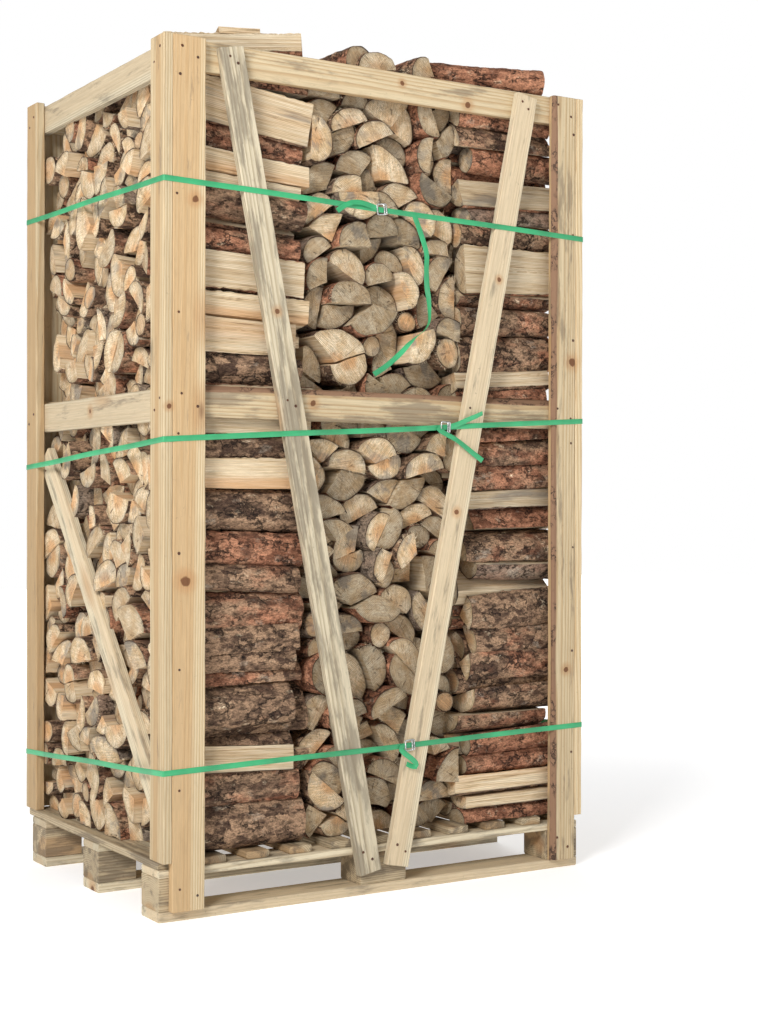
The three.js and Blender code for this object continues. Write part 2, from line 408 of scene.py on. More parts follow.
def sawnBoard(node, number):
    chance = random.Random(boardLook["seed"] + number)
    middle, axes, half = solidFrame(node)
    length, width, thick = half
    stations = max(4, round(2 * length / boardLook["stationGap"]))
    inner = np.linspace(-length + boardLook["endGap"], length - boardLook["endGap"], stations)
    along = np.concatenate([[-length], inner, [length]])
    count = len(along)
    bites = [np.abs(smoothNoise(chance, count, 2)) * boardLook["arrisWear"] + boardLook["arris"]
             for _ in range(4)]
    waneCorner = boardLook["wane"].get(node)
    if waneCorner is not None:
        depth = 0.55 + 0.45 * smoothNoise(chance, count, 5)
        bites[waneCorner] = np.clip(depth, 0.05, 1.0) * thick * 1.5
    signs = ((-1, -1), (1, -1), (1, 1), (-1, 1))  # width and thickness side of each corner
    rings, waned = [], []

    def addRing(across, deep, isWane=False):
        rings.append(np.stack(np.broadcast_arrays(along, across, deep), 1))
        waned.append(np.full(count, float(isWane)))

    for corner, (sideWidth, sideThick) in enumerate(signs):
        isWane = corner == waneCorner
        reach = bites[corner] * (0.9 if isWane else 1.0)
        onFace = (sideWidth * (width - reach), sideThick * thick)
        onEdge = (sideWidth * width, sideThick * (thick - bites[corner]))
        for across, deep in (onFace, onEdge) if corner % 2 else (onEdge, onFace):
            addRing(across, deep, isWane)
        if corner % 2:
            addRing(sideWidth * width, 0.0)
            continue
        for share in (0.25, 0.5, 0.75):  # along the wide face to the next corner
            addRing((sideWidth + (signs[corner + 1][0] - sideWidth) * share) * width, sideThick * thick)
    grid = np.stack(rings, 1)  # station, point round the board, place
    around = grid.shape[1]
    grid[..., 1] += (smoothNoise(chance, count, 8) * boardLook["warp"])[:, None]
    for end in (0, -1):
        grid[end, :, 1:] *= 1 - boardLook["endArris"] / np.array([width, thick])
    ragged = boardLook["raggedEnds"].get(node, 0.0)
    if ragged:
        for k in range(around):
            grid[0, k, 0] += chance.uniform(0, ragged)
    local = np.concatenate([grid.reshape(-1, 3), [[-length + ragged * 0.6, 0, 0], [length, 0, 0]]])
    faces = []
    last = (count - 1) * around
    for k in range(around):
        other = (k + 1) % around
        faces += [(a + k, a + around + k, a + around + other, a + other) for a in range(0, last, around)]
        faces.append((count * around, k, other))
        faces.append((count * around + 1, last + other, last + k))
    made = newObject(node + "_wood", local @ axes + middle, faces)
    mesh = made.data
    pith = boardLook["pith"].get(node)
    if pith is None:
        pith = (chance.uniform(-0.9, 0.9) * width, chance.choice((-1, 1)) * chance.uniform(0.01, 0.07))
    wander = 0.012 * math.sin(number) * local[:, 0]
    stem = np.stack([local[:, 1] - pith[0] + wander, local[:, 2] - pith[1], local[:, 0] + number * 3.7], 1)
    tone = boardLook["tone"].get(node, chance.random())
    dirt = boardLook["dirt"].get(node, chance.uniform(0.7, 1.3))
    storeValues(mesh, "stem", "FLOAT_VECTOR", stem)
    storeValues(mesh, "tone", "FLOAT", np.full(len(local), tone))
    storeValues(mesh, "dirt", "FLOAT", np.full(len(local), dirt))
    storeValues(mesh, "wane", "FLOAT", np.concatenate([np.stack(waned, 1).ravel(), [0, 0]]))
    mesh.materials.append(boardMaterials[slotOf[node]])
    turnOutwards(mesh)
    mesh.shade_smooth()
    mesh.set_sharp_from_angle(angle=math.radians(38))
    settle(made, slotOf[node], node)


boardNodes = sorted(node for node, slot in slotOf.items() if slot in boardFinishes and "log" not in node)
for number, node in enumerate(boardNodes):
    sawnBoard(node, number)
report(f"{len(boardNodes)} boards")


# split logs: their shapes, the stacking and the meshes

logLook = {
    "shapes": {"half": 5.0, "wedge": 3.6, "slab": 1.8, "round": 0.8},
    "radius": {"side": (0.040, 0.060), "middle": (0.043, 0.062)},
    "taper": 0.07,
    "settleGap": 0.972,  # logs are this share of the space they settled in
    "barkRelief": 0.0042,
    "plateSize": 0.021,
    "fibreRelief": 0.0036,
    "endRelief": 0.0012,
}

binLook = {
    "side": {  # bark shares of the two outer columns are for the rows below and above upperRow
        "width": 0.7808, "columns": 8, "length": (0.325, 0.350), "fill": 0.885, "seed": 31,
        "upperRow": 20, "barkNear": (0.8, 0.6), "barkFar": (0.85, 0.45)},
    "middle": {
        "width": 0.4324, "columns": 4, "length": (0.325, 0.345), "fill": 0.888, "seed": 3, "barkUp": 0.62},
}
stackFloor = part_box("deck_board_1")[1][2] + 0.0004
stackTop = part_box("logs_middle")[1][2]
simScale = 10.0  # small bodies fall more steadily when they are simulated larger
settleFrames = 130


def cutOutline(outline, normal, offset):
    # keeps one side of a line; the outline's third value says bark (1) or split wood (0)
    kept = []
    for k, a in enumerate(outline):
        b = outline[(k + 1) % len(outline)]
        sideA = a[0] * normal[0] + a[1] * normal[1] - offset
        sideB = b[0] * normal[0] + b[1] * normal[1] - offset
        if sideA <= 0:
            kept.append(a)
        if (sideA <= 0) != (sideB <= 0):
            t = sideA / (sideA - sideB)
            at = (a[0] + (b[0] - a[0]) * t, a[1] + (b[1] - a[1]) * t)
            kept.append((*at, 0.0 if sideA <= 0 else a[2]))
    return kept


def barkRadius(log, angle, sine=math.sin):
    return log["radius"] * (1 + 0.055 * sine(2 * angle + log["phase"]) + 0.03 * sine(3 * angle)
                            + 0.014 * sine(7 * angle + 2 * log["phase"]))


def barkOutline(log, count):
    turns = [2 * math.pi * k / count for k in range(count)]
    return [(barkRadius(log, t) * math.cos(t), barkRadius(log, t) * math.sin(t), 1.0) for t in turns]


def newLog(chance, kind, radius, length):
    if kind == "wedge":
        radius *= chance.uniform(1.15, 1.45)
    elif kind == "round":
        radius *= chance.uniform(0.58, 0.72)
    log = {"radius": radius, "length": length, "phase": chance.uniform(0, 6.28)}
    outline = barkOutline(log, 44)
    if kind == "half":
        outline = cutOutline(outline, (chance.uniform(-0.12, 0.12), -1), chance.uniform(-0.1, 0.16) * radius)
    elif kind == "wedge":
        spread = math.radians(chance.uniform(76, 128)) / 2
        for side in (-1, 1):
            normal = (side * math.cos(spread), -math.sin(spread))
            outline = cutOutline(outline, normal, chance.uniform(-0.02, 0.09) * radius)
    elif kind == "slab":
        outline = cutOutline(outline, (0, -1), chance.uniform(-0.25, 0.1) * radius)
        tip = chance.uniform(-0.3, 0.3)
        outline = cutOutline(outline, (math.cos(tip), math.sin(tip)), chance.uniform(0.3, 0.62) * radius)
    xs, zs = np.array(outline)[:, 0], np.array(outline)[:, 1]
    cross = xs * np.roll(zs, -1) - np.roll(xs, -1) * zs
    log["area"] = abs(cross.sum()) / 2
    log["middle"] = (((xs + np.roll(xs, -1)) * cross).sum() / (6 * log["area"]),
                     ((zs + np.roll(zs, -1)) * cross).sum() / (6 * log["area"]))
    log["outline"] = [(x - log["middle"][0], z - log["middle"][1], tag) for x, z, tag in outline]
    log["taper"] = chance.uniform(-1, 1) * logLook["taper"]
    log["tone"] = chance.random()
    log["detailSeed"] = chance.random() * 1000
    log["skew"] = [(chance.gauss(0, 0.05), chance.gauss(0, 0.05)) for _ in range(2)]
    log["bend"] = (chance.gauss(0, 0.0015), chance.gauss(0, 0.0015))
    return log


def evenOutline(outline, gap):
    # points at an even gap along each run of bark and each split side, corners kept
    count = len(outline)
    start = next((k for k in range(count) if outline[k][2] != outline[k - 1][2]), 0)
    turned = outline[start:] + outline[:start]
    runs = []
    for k, point in enumerate(turned):
        if k and point[2] == 1.0 and turned[k - 1][2] == 1.0:
            runs[-1].append(point)
        else:
            runs.append([point])
    even = []
    for k, run in enumerate(runs):
        line = np.array(run + [runs[(k + 1) % len(runs)][0]])[:, :2]
        steps = np.concatenate([[0], np.cumsum(np.linalg.norm(np.diff(line, axis=0), axis=1))])
        if steps[-1] < 0.002 and len(runs) > 1:
            continue
        number = max(2 if steps[-1] > gap else 1, round(steps[-1] / gap))
        for share in np.arange(number) / number * steps[-1]:
            even.append((np.interp(share, steps, line[:, 0]), np.interp(share, steps, line[:, 1]), run[0][2]))
    return np.array(even)


def hullMesh(log):
    ring = evenOutline(log["outline"], 0.02)
    points = []
    for end in (-1, 1):
        grow = 1 + log["taper"] * end
        points += [(x * grow * simScale, end * log["length"] / 2 * simScale, z * grow * simScale)
                   for x, z, _ in ring]
    count = len(ring)
    faces = [tuple(range(count)), tuple(range(2 * count - 1, count - 1, -1))]
    faces += [(k, k + count, (k + 1) % count + count, (k + 1) % count) for k in range(count)]
    return points, faces


def barkTurn(chance, look, row, column):
    # most outer logs show their bark, and most middle ones have it on top
    if "barkUp" in look:
        isBarkUp = chance.random() < look["barkUp"]
        return chance.gauss(0, 0.7) if isBarkUp else chance.uniform(0, 2 * math.pi)
    isUpper = row >= look["upperRow"]
    if column == 0 and chance.random() < look["barkNear"][isUpper]:
        return chance.gauss(-1.45, 0.4)
    if column == look["columns"] - 1:
        isBarkOut = chance.random() < look["barkFar"][isUpper]
        return chance.gauss(1.45, 0.4) if isBarkOut else chance.gauss(-1.6, 0.4)
    return chance.uniform(0, 2 * math.pi)


def dropLogs(name):
    # lets one bin of logs fall into place and returns them with where they came to rest
    look = binLook[name]
    chance = random.Random(look["seed"])
    scene = bpy.context.scene
    bpy.ops.rigidbody.world_add()
    falling = bpy.data.collections.new("falling")
    scene.rigidbody_world.collection = falling
    wide, high = look["width"], stackTop - stackFloor
    half = look["length"][1] / 2 + 0.012
    walls = {
        "base": ((-1, -1, -0.3), (1, 1, 0)),
        "left": ((-wide / 2 - 0.3, -1, 0), (-wide / 2, 1, 8)),
        "right": ((wide / 2, -1, 0), (wide / 2 + 0.3, 1, 8)),
        "near": ((-1, -half - 0.3, 0), (1, -half, 8)),
        "far": ((-1, half, 0), (1, half + 0.3, 8)),
    }
    sides = [(0, 1, 3, 2), (4, 6, 7, 5), (0, 4, 5, 1), (2, 3, 7, 6), (0, 2, 6, 4), (1, 5, 7, 3)]
    bodies = []
    for label, (low, top) in walls.items():
        corners = [(x, y, z) for x in (low[0], top[0]) for y in (low[1], top[1]) for z in (low[2], top[2])]
        wall = newObject("wall_" + label, np.array(corners) * simScale, sides)
        bodies.append(wall)
        falling.objects.link(wall)
        wall.rigid_body.type = "PASSIVE"
        wall.rigid_body.friction = 0.3
    logs = []
    area = 0.0
    while area < wide * high * look["fill"]:
        row, column = divmod(len(logs), look["columns"])
        radius = chance.uniform(*logLook["radius"][name])
        kind = chance.choices(list(logLook["shapes"]), list(logLook["shapes"].values()))[0]
        log = newLog(chance, kind, radius, chance.uniform(*look["length"]))
        area += log["area"]
        body = newObject("log", *hullMesh(log))
        across = (column + 0.5 - look["columns"] / 2) * wide / look["columns"]
        body.location = Vector((across + chance.uniform(-0.003, 0.003), chance.uniform(-0.008, 0.008),
                                0.07 + row * 0.125)) * simScale
        body.rotation_euler = (0, barkTurn(chance, look, row, column), 0)
        falling.objects.link(body)
        rigid = body.rigid_body
        rigid.friction = 0.34
        rigid.mass = 2.0
        rigid.linear_damping = 0.05
        rigid.angular_damping = 0.15
        bodies.append(body)
        logs.append(log)
    for body in bodies:
        body.rigid_body.collision_shape = "CONVEX_HULL"
        body.rigid_body.restitution = 0.0
        body.rigid_body.use_margin = True
        body.rigid_body.collision_margin = 0.0
    world = scene.rigidbody_world
    world.substeps_per_frame = 12
    world.solver_iterations = 20
    world.point_cache.frame_end = settleFrames + 10
    gravity = scene.gravity.copy()
    scene.gravity = gravity * simScale
    for step in range(1, settleFrames + 1):
        scene.frame_set(step)
    graph = bpy.context.evaluated_depsgraph_get()
    for log, body in zip(logs, bodies[len(walls):]):
        matrix = body.evaluated_get(graph).matrix_world
        log["turn"] = np.array(matrix.to_3x3())
        log["place"] = np.array(matrix.translation) / simScale
        log["top"] = max((matrix @ v.co).z for v in body.data.vertices) / simScale
    bpy.ops.rigidbody.world_remove()
    for body in bodies:
        mesh = body.data
        bpy.data.objects.remove(body)
        bpy.data.meshes.remove(mesh)
    bpy.data.collections.remove(falling)
    scene.gravity = gravity
    scene.frame_set(1)
    kept = [log for log in logs if log["top"] < high]
    kept += topFillers(kept, wide, high, chance)
    report(f"{name} bin: {len(kept)} of {len(logs)} logs fit, top {max(log['top'] for log in kept):.3f}")
    return kept


def topFillers(logs, wide, high, chance):
    # split pieces laid flat on the low spots of the heap, up to its top
    step = 0.004
    spots = np.arange(-wide / 2, wide / 2, step) + step / 2
    tops = np.zeros(len(spots))
    for log in logs:
        section = np.array(log["outline"])[:, :2] @ log["turn"][np.ix_((0, 2), (0, 2))].T
        section += log["place"][[0, 2]]
        for k in range(len(section)):
            a, b = section[k], section[(k + 1) % len(section)]
            if abs(a[0] - b[0]) < 1e-9:
                continue
            inside = (spots >= min(a[0], b[0])) & (spots <= max(a[0], b[0]))
            line = a[1] + (b[1] - a[1]) * (spots[inside] - a[0]) / (b[0] - a[0])
            tops[inside] = np.maximum(tops[inside], line)
    made = []
    for _ in range(40):
        half = chance.uniform(0.03, 0.048)
        reach = int(half / step)
        bases = np.array([tops[k - reach:k + reach].max() for k in range(reach, len(spots) - reach)])
        best = int(bases.argmin())
        room = high - bases[best] - 0.004
        if room < 0.024:
            break
        rise = min(room, chance.uniform(0.03, 0.055))
        radius = (rise ** 2 + half ** 2) / (2 * rise)
        log = newLog(chance, "whole", radius, chance.uniform(0.32, 0.345))
        centred = [(x + log["middle"][0], z + log["middle"][1], tag) for x, z, tag in log["outline"]]
        outline = cutOutline(centred, (0, -1), rise - radius)
        low, top = min(z for _, z, _ in outline), max(z for _, z, _ in outline)
        log["middle"] = (0.0, (low + top) / 2)
        log["outline"] = [(x, z - log["middle"][1], tag) for x, z, tag in outline]
        log["taper"] = 0.0
        log["turn"] = np.eye(3)
        log["place"] = np.array([spots[best + reach], 0.0, bases[best] + (top - low) / 2])
        log["top"] = bases[best] + top - low
        tops[best:best + 2 * reach] = log["top"]
        made.append(log)
    return made


def logArrays(log, gap, stations, rings):
    # one log's points, stem places, masks and faces, along local Y with the near end first
    ring = evenOutline(log["outline"], gap)
    count = len(ring)
    chance = np.random.default_rng(int(log["detailSeed"] * 97))
    shares = np.asarray(stations)
    grow = 1 + log["taper"] * (2 * shares - 1)
    isBark = ring[:, 2] > 0.5
    bark = (isBark & np.roll(isBark, 1)).astype(float)
    corner = (isBark != np.roll(isBark, 1)) | (~isBark & ~np.roll(isBark, 1) & (np.arange(count) % 7 == 0))
    flat = ring[None, :, :2] * (grow * logLook["settleGap"])[:, None, None]
    jitter = chance.normal(0, 0.0011, (len(shares), count)) * corner
    nibble = np.interp(np.arange(count), np.linspace(0, count, 12), chance.normal(0, 0.0012, 12))
    ragged = chance.normal(0, 0.0009, count) * ~isBark
    flat = flat * (1 + ((jitter + nibble - np.abs(ragged)) / 0.045)[..., None])
    bow = 4 * shares * (1 - shares)
    flat[..., 0] += (bow * log["bend"][0])[:, None]
    flat[..., 1] += (bow * log["bend"][1])[:, None]
    half = log["length"] / 2

    def lengthwise(points, share):
        near = -half + points[..., 0] * log["skew"][0][0] + points[..., 1] * log["skew"][0][1]
        far = half + points[..., 0] * log["skew"][1][0] + points[..., 1] * log["skew"][1][1]
        return near + (far - near) * share

    side = np.stack([flat[..., 0], lengthwise(flat, shares[:, None]), flat[..., 1]], -1).reshape(-1, 3)
    blocks = [side]
    isEnd = [np.repeat(((shares == 0) | (shares == 1)) * 0.5, count)]
    barks = [np.tile(bark, len(shares))]
    quads, triangles, quadKind, triangleKind = [], [], [], []
    ids = np.arange(count)
    following = (ids + 1) % count
    for s in range(len(shares) - 1):
        a, b = s * count + ids, s * count + following
        quads.append(np.stack([a, a + count, b + count, b], 1))
        quadKind.append(np.where(isBark, 0, 1))
    offset = len(side)
    for share, station, shrinks in ((0.0, 0, rings[0]), (1.0, len(shares) - 1, rings[1])):
        outer = station * count + ids
        rim = flat[station]
        centre = rim.mean(0)
        for shrink in shrinks:
            inner = centre + (rim - centre) * shrink
            blocks.append(np.stack([inner[:, 0], lengthwise(inner, share), inner[:, 1]], 1))
            isEnd.append(np.ones(count))
            barks.append(np.zeros(count))
            inside = offset + ids
            quad = np.stack([outer, outer[following], inside[following], inside], 1)
            quads.append(quad if share == 0 else quad[:, ::-1])
            quadKind.append(np.full(count, 2))
            outer = inside
            offset += count
        blocks.append(np.array([[centre[0], lengthwise(centre, share), centre[1]]]))
        isEnd.append(np.ones(1))
        barks.append(np.zeros(1))
        fan = np.stack([outer, outer[following], np.full(count, offset)], 1)
        triangles.append(fan if share == 0 else fan[:, ::-1])
        triangleKind.append(np.full(count, 2))
        offset += 1
    points = np.concatenate(blocks)
    thickness = 1 + log["taper"] * points[:, 1] / half
    u = points[:, 0] / thickness + log["middle"][0]
    v = points[:, 2] / thickness + log["middle"][1]
    angle = np.arctan2(v, u)
    depth = barkRadius(log, angle, np.sin) - np.hypot(u, v)  # metres under the bark
    stem = np.stack([u, v, points[:, 1] + log["detailSeed"]], 1)
    joined = {"barkShare": barks, "endShare": isEnd, "quads": quads, "quadKind": quadKind,
              "triangles": triangles, "triangleKind": triangleKind}
    arrays = {key: np.concatenate(blocks) for key, blocks in joined.items()}
    arrays.update({"points": points, "ringCount": count, "stem": stem, "depth": depth})
    return arrays


def logPiece(name, logs, node):
    # joins logs into one piece; each comes with its arrays already in place
    points = np.concatenate([log["points"] for log in logs])
    faces, kinds = [], []
    offset = 0
    for log in logs:
        faces += (log["quads"] + offset).tolist() + (log["triangles"] + offset).tolist()
        kinds += [log["quadKind"], log["triangleKind"]]
        offset += len(log["points"])
    made = newObject(name, points, faces)
    mesh = made.data
    for label in ("stem", "depth", "barkShare", "endShare", "tone", "pick"):
        kind = "FLOAT_VECTOR" if label == "stem" else "FLOAT"
        storeValues(mesh, label, kind, np.concatenate([log[label] for log in logs]))
    for material in (logBark, logSplit, logEnd):
        mesh.materials.append(material)
    mesh.polygons.foreach_set("material_index", np.concatenate(kinds).astype(np.int32))
    finishedWith(made, logSurface, {
        "Bark Relief": logLook["barkRelief"], "Plate Size": logLook["plateSize"],
        "Fibre Relief": logLook["fibreRelief"], "End Relief": logLook["endRelief"]})
    made.data.shade_smooth()
    made.data.set_sharp_from_angle(angle=math.radians(42))
    made.data.calc_loop_triangles()
    report(f"{name}: {len(logs)} logs, {len(made.data.loop_triangles)} triangles")
    settle(made, slotOf[node], node)


def buildPegs(name, finish, corners, topShare, sizes):
    # stands a small cone on each point, along its "facing"
    tree, w, given, made = newTree(
        name, "GeometryNodeTree",
        [("Geometry", "NodeSocketGeometry", None), ("Radius", "NodeSocketFloat", 0.003),
         ("Height", "NodeSocketFloat", 0.001), ("Seed", "NodeSocketInt", 1)],
        [("Geometry", "NodeSocketGeometry")])
    facing = w.node("GeometryNodeInputNamedAttribute", {"Name": "facing"}, data_type="FLOAT_VECTOR")
    aligned = w.node("FunctionNodeAlignRotationToVector", {"Vector": facing.outputs["Attribute"]}, axis="Z")
    cone = w.node("GeometryNodeMeshCone", {
        "Vertices": corners, "Radius Top": w.times(given["Radius"], topShare),
        "Radius Bottom": given["Radius"], "Depth": given["Height"]})
    size = w.node("FunctionNodeRandomValue", {2: sizes[0], 3: sizes[1], "Seed": given["Seed"]},
                  data_type="FLOAT")
    pegs = w.node("GeometryNodeInstanceOnPoints", {
        "Points": given["Geometry"], "Instance": cone.outputs["Mesh"], "Rotation": aligned.outputs[0],
        "Scale": size.outputs[1]})
    whole = w.node("GeometryNodeRealizeInstances", {"Geometry": pegs.outputs[0]}).outputs[0]
    coated = w.node("GeometryNodeSetMaterial", {"Geometry": whole, "Material": finish}).outputs[0]
    w.feed(made, {"Geometry": coated})
    return tree


def standPegs(name, tree, spots, facings, look, slot):
    made = newObject(name, spots, [])
    storeValues(made.data, "facing", "FLOAT_VECTOR", facings)
    finishedWith(made, tree, {"Radius": look["radius"], "Height": look["height"], "Seed": look["seed"]})
    settle(made, slot)
    report(f"{name}: {len(spots)}")


def buildLogSurface():
    # pushes bark plates, torn fibres and saw marks out of the log surfaces
    tree, w, given, made = newTree(
        "logSurface", "GeometryNodeTree",
        [("Geometry", "NodeSocketGeometry", None), ("Bark Relief", "NodeSocketFloat", 0.004),
         ("Plate Size", "NodeSocketFloat", 0.02), ("Fibre Relief", "NodeSocketFloat", 0.002),
         ("End Relief", "NodeSocketFloat", 0.001)],
        [("Geometry", "NodeSocketGeometry")])

    def named(label, kind="FLOAT"):
        return w.node("GeometryNodeInputNamedAttribute", {"Name": label}, data_type=kind).outputs["Attribute"]

    stem = named("stem", "FLOAT_VECTOR")
    bark, end = named("barkShare"), named("endShare")
    plates = plateNodes(w, stem, given["Plate Size"])[0]
    lumps = w.noise(w.drawn(stem, 0.5), 26.0, 2.0)
    barkHeight = w.times(w.minus(w.plus(plates, lumps), 1.1), given["Bark Relief"])
    torn = w.noise(w.drawn(stem, 0.07), 95.0, 3.0, 0.6)
    sweep = w.noise(w.drawn(stem, 0.35), 17.0, 1.0)
    splitHeight = w.times(w.minus(w.plus(torn, sweep), 1.15), given["Fibre Relief"])
    rough = w.noise(stem, 70.0, 2.0)
    endHeight = w.times(w.minus(rough, 0.5), given["End Relief"])
    side = w.plus(w.times(barkHeight, bark), w.times(splitHeight, w.minus(1.0, bark)))
    height = w.plus(w.times(side, w.minus(1.0, end)), w.times(endHeight, end))
    normal = w.node("GeometryNodeInputNormal").outputs[0]
    push = w.node("ShaderNodeVectorMath", {0: normal, "Scale": height}, operation="SCALE").outputs[0]
    moved = w.node("GeometryNodeSetPosition", {"Geometry": given["Geometry"], "Offset": push}).outputs[0]
    whole = w.node("GeometryNodeRealizeInstances", {"Geometry": moved}).outputs[0]
    index = w.node("GeometryNodeInputMaterialIndex").outputs[0]
    for number, finish in enumerate((logBark, logSplit, logEnd)):
        isOwn = w.node("FunctionNodeCompare", {2: index, 3: number}, data_type="INT", operation="EQUAL")
        whole = w.node("GeometryNodeSetMaterial", {"Geometry": whole, "Selection": isOwn.outputs[0],
                                                   "Material": finish}).outputs[0]
    w.feed(made, {"Geometry": whole})
    return tree


# finishes of the logs

barkLook = {
    "red": paint(186, 132, 102), "redDeep": paint(122, 80, 60), "brown": paint(170, 138, 110),
    "grey": paint(176, 162, 144), "dark": paint(84, 64, 52), "joint": paint(36, 26, 21),
    "cream": paint(232, 212, 180), "moss": paint(150, 136, 86),
}
woodLook = {
    "pale": paint(236, 220, 190), "tan": paint(206, 178, 138), "line": paint(168, 134, 94),
    "heart": paint(198, 146, 96), "stain": paint(136, 128, 118), "rim": paint(70, 48, 34),
    "crack": paint(74, 52, 38),
}


def barkMaterial():
    material, w, shader = newMaterial("logBark", barkLook["red"])
    stem = w.attribute("stem", "Vector")
    tone, pick = w.attribute("tone"), w.attribute("pick")
    plates = placeGroup(w, barkPlates, {"Stem": stem, "Plate Size": logLook["plateSize"]})
    fine = w.noise(w.drawn(stem, 0.5), 300.0, 4.0, 0.72)
    mid = w.noise(w.drawn(stem, 0.4), 75.0, 4.0, 0.62)
    broad = w.noise(w.drawn(stem, 0.45), 15.0, 4.0, 0.62)
    shade = w.ease(w.plus(w.times(w.parts(plates["Pick"])[1], 0.35), mid), 0.46, 0.86)
    red = w.blend(shade, barkLook["redDeep"], barkLook["red"])
    brown = w.blend(shade, barkLook["dark"], barkLook["brown"])
    share = w.plus(w.times(tone, 0.75), broad)
    color = w.blend(w.ease(share, 0.78, 1.0, 1.0, 0.0), brown, red)
    grey = w.blend(mid, barkLook["dark"], barkLook["grey"])
    color = w.blend(w.ease(pick, 0.8, 0.95, 0.0, 0.8), color, grey)
    # patches: lichen grey, worn cream flakes and moss
    greyPatch = placeGroup(w, grime, {"Position": w.drawn(stem, 0.6), "Size": 0.04, "Cover": 0.3})["Mask"]
    color = w.tint(color, greyPatch, 0.7, barkLook["grey"])
    wornAt = w.vector("ADD", w.drawn(stem, 0.5), (3, 5, 0))
    worn = placeGroup(w, grime, {"Position": wornAt, "Size": 0.03, "Cover": 0.28})["Mask"]
    color = w.blend(w.times(worn, w.ease(fine, 0.42, 0.56, 0.15, 0.95)), color, barkLook["cream"])
    mossAt = w.vector("ADD", stem, (9, 2, 0))
    mossy = placeGroup(w, grime, {"Position": mossAt, "Size": 0.03, "Cover": 0.1})["Mask"]
    color = w.tint(color, mossy, 0.5, barkLook["moss"])
    color = w.blend(w.ease(plates["Joint"], 0.1, 0.75, 0.8, 0.0), color, barkLook["joint"])
    # partly the bark's own flecks, partly painted light: low scales are painted darker as shade in their
    # hollows, and raised fine flecks are painted lighter as highlights
    scaleHollowShade = w.ease(plates["Scales"], 0.38, 0.48, 0.42, 1.0)
    level = w.times(w.ease(fine, 0.3, 0.7, 0.5, 1.42), scaleHollowShade)
    color = w.shaded(color, level)
    height = w.plus(plates["Height"], w.times(fine, 0.3))
    w.feed(shader, {"Base Color": color, "Roughness": w.ease(fine, 0.2, 0.8, 0.7, 0.95),
                    "Normal": bumpOf(w, height, 0.0034)})
    shader.inputs["Specular IOR Level"].default_value = 0.2
    return material


def splitMaterial():
    material, w, shader = newMaterial("logSplit", woodLook["pale"])
    stem, depth = w.attribute("stem", "Vector"), w.attribute("depth")
    tone, pick = w.attribute("tone"), w.attribute("pick")
    grain = placeGroup(w, stemGrain, {"Stem": stem, "Ring Gap": 0.0035, "Wobble": 0.006})
    streak = w.noise(w.drawn(stem, 0.035), 130.0, 4.0, 0.65)
    broad = w.noise(w.drawn(stem, 0.15), 24.0, 3.0, 0.6)
    color = w.blend(w.ease(streak, 0.3, 0.72), woodLook["pale"], woodLook["tan"])
    color = w.tint(color, grain["Rings"], 0.45, woodLook["line"])
    heart = w.times(w.ease(grain["Radius"], 0.012, 0.03, 1.0, 0.0), w.ease(tone, 0.5, 0.8))
    color = w.tint(color, heart, 0.6, woodLook["heart"])
    stain = w.times(w.ease(broad, 0.5, 0.66), w.ease(pick, 0.25, 0.7))
    color = w.tint(color, stain, 0.7, woodLook["stain"])
    color = w.blend(w.ease(streak, 0.57, 0.76, 0.0, 0.7), color, woodLook["crack"])
    color = w.blend(w.ease(depth, 0.0005, 0.0035, 0.95, 0.0), color, woodLook["rim"])
    level = w.times(w.ease(grain["Fibres"], 0.25, 0.75, 0.82, 1.1), w.ease(tone, 0.0, 1.0, 0.78, 1.12))
    color = w.shaded(color, level)
    height = w.plus(streak, w.times(grain["Fibres"], 0.5))
    w.feed(shader, {"Base Color": color, "Roughness": w.ease(streak, 0.2, 0.8, 0.62, 0.85),
                    "Normal": bumpOf(w, height, 0.003)})
    shader.inputs["Specular IOR Level"].default_value = 0.25
    return material


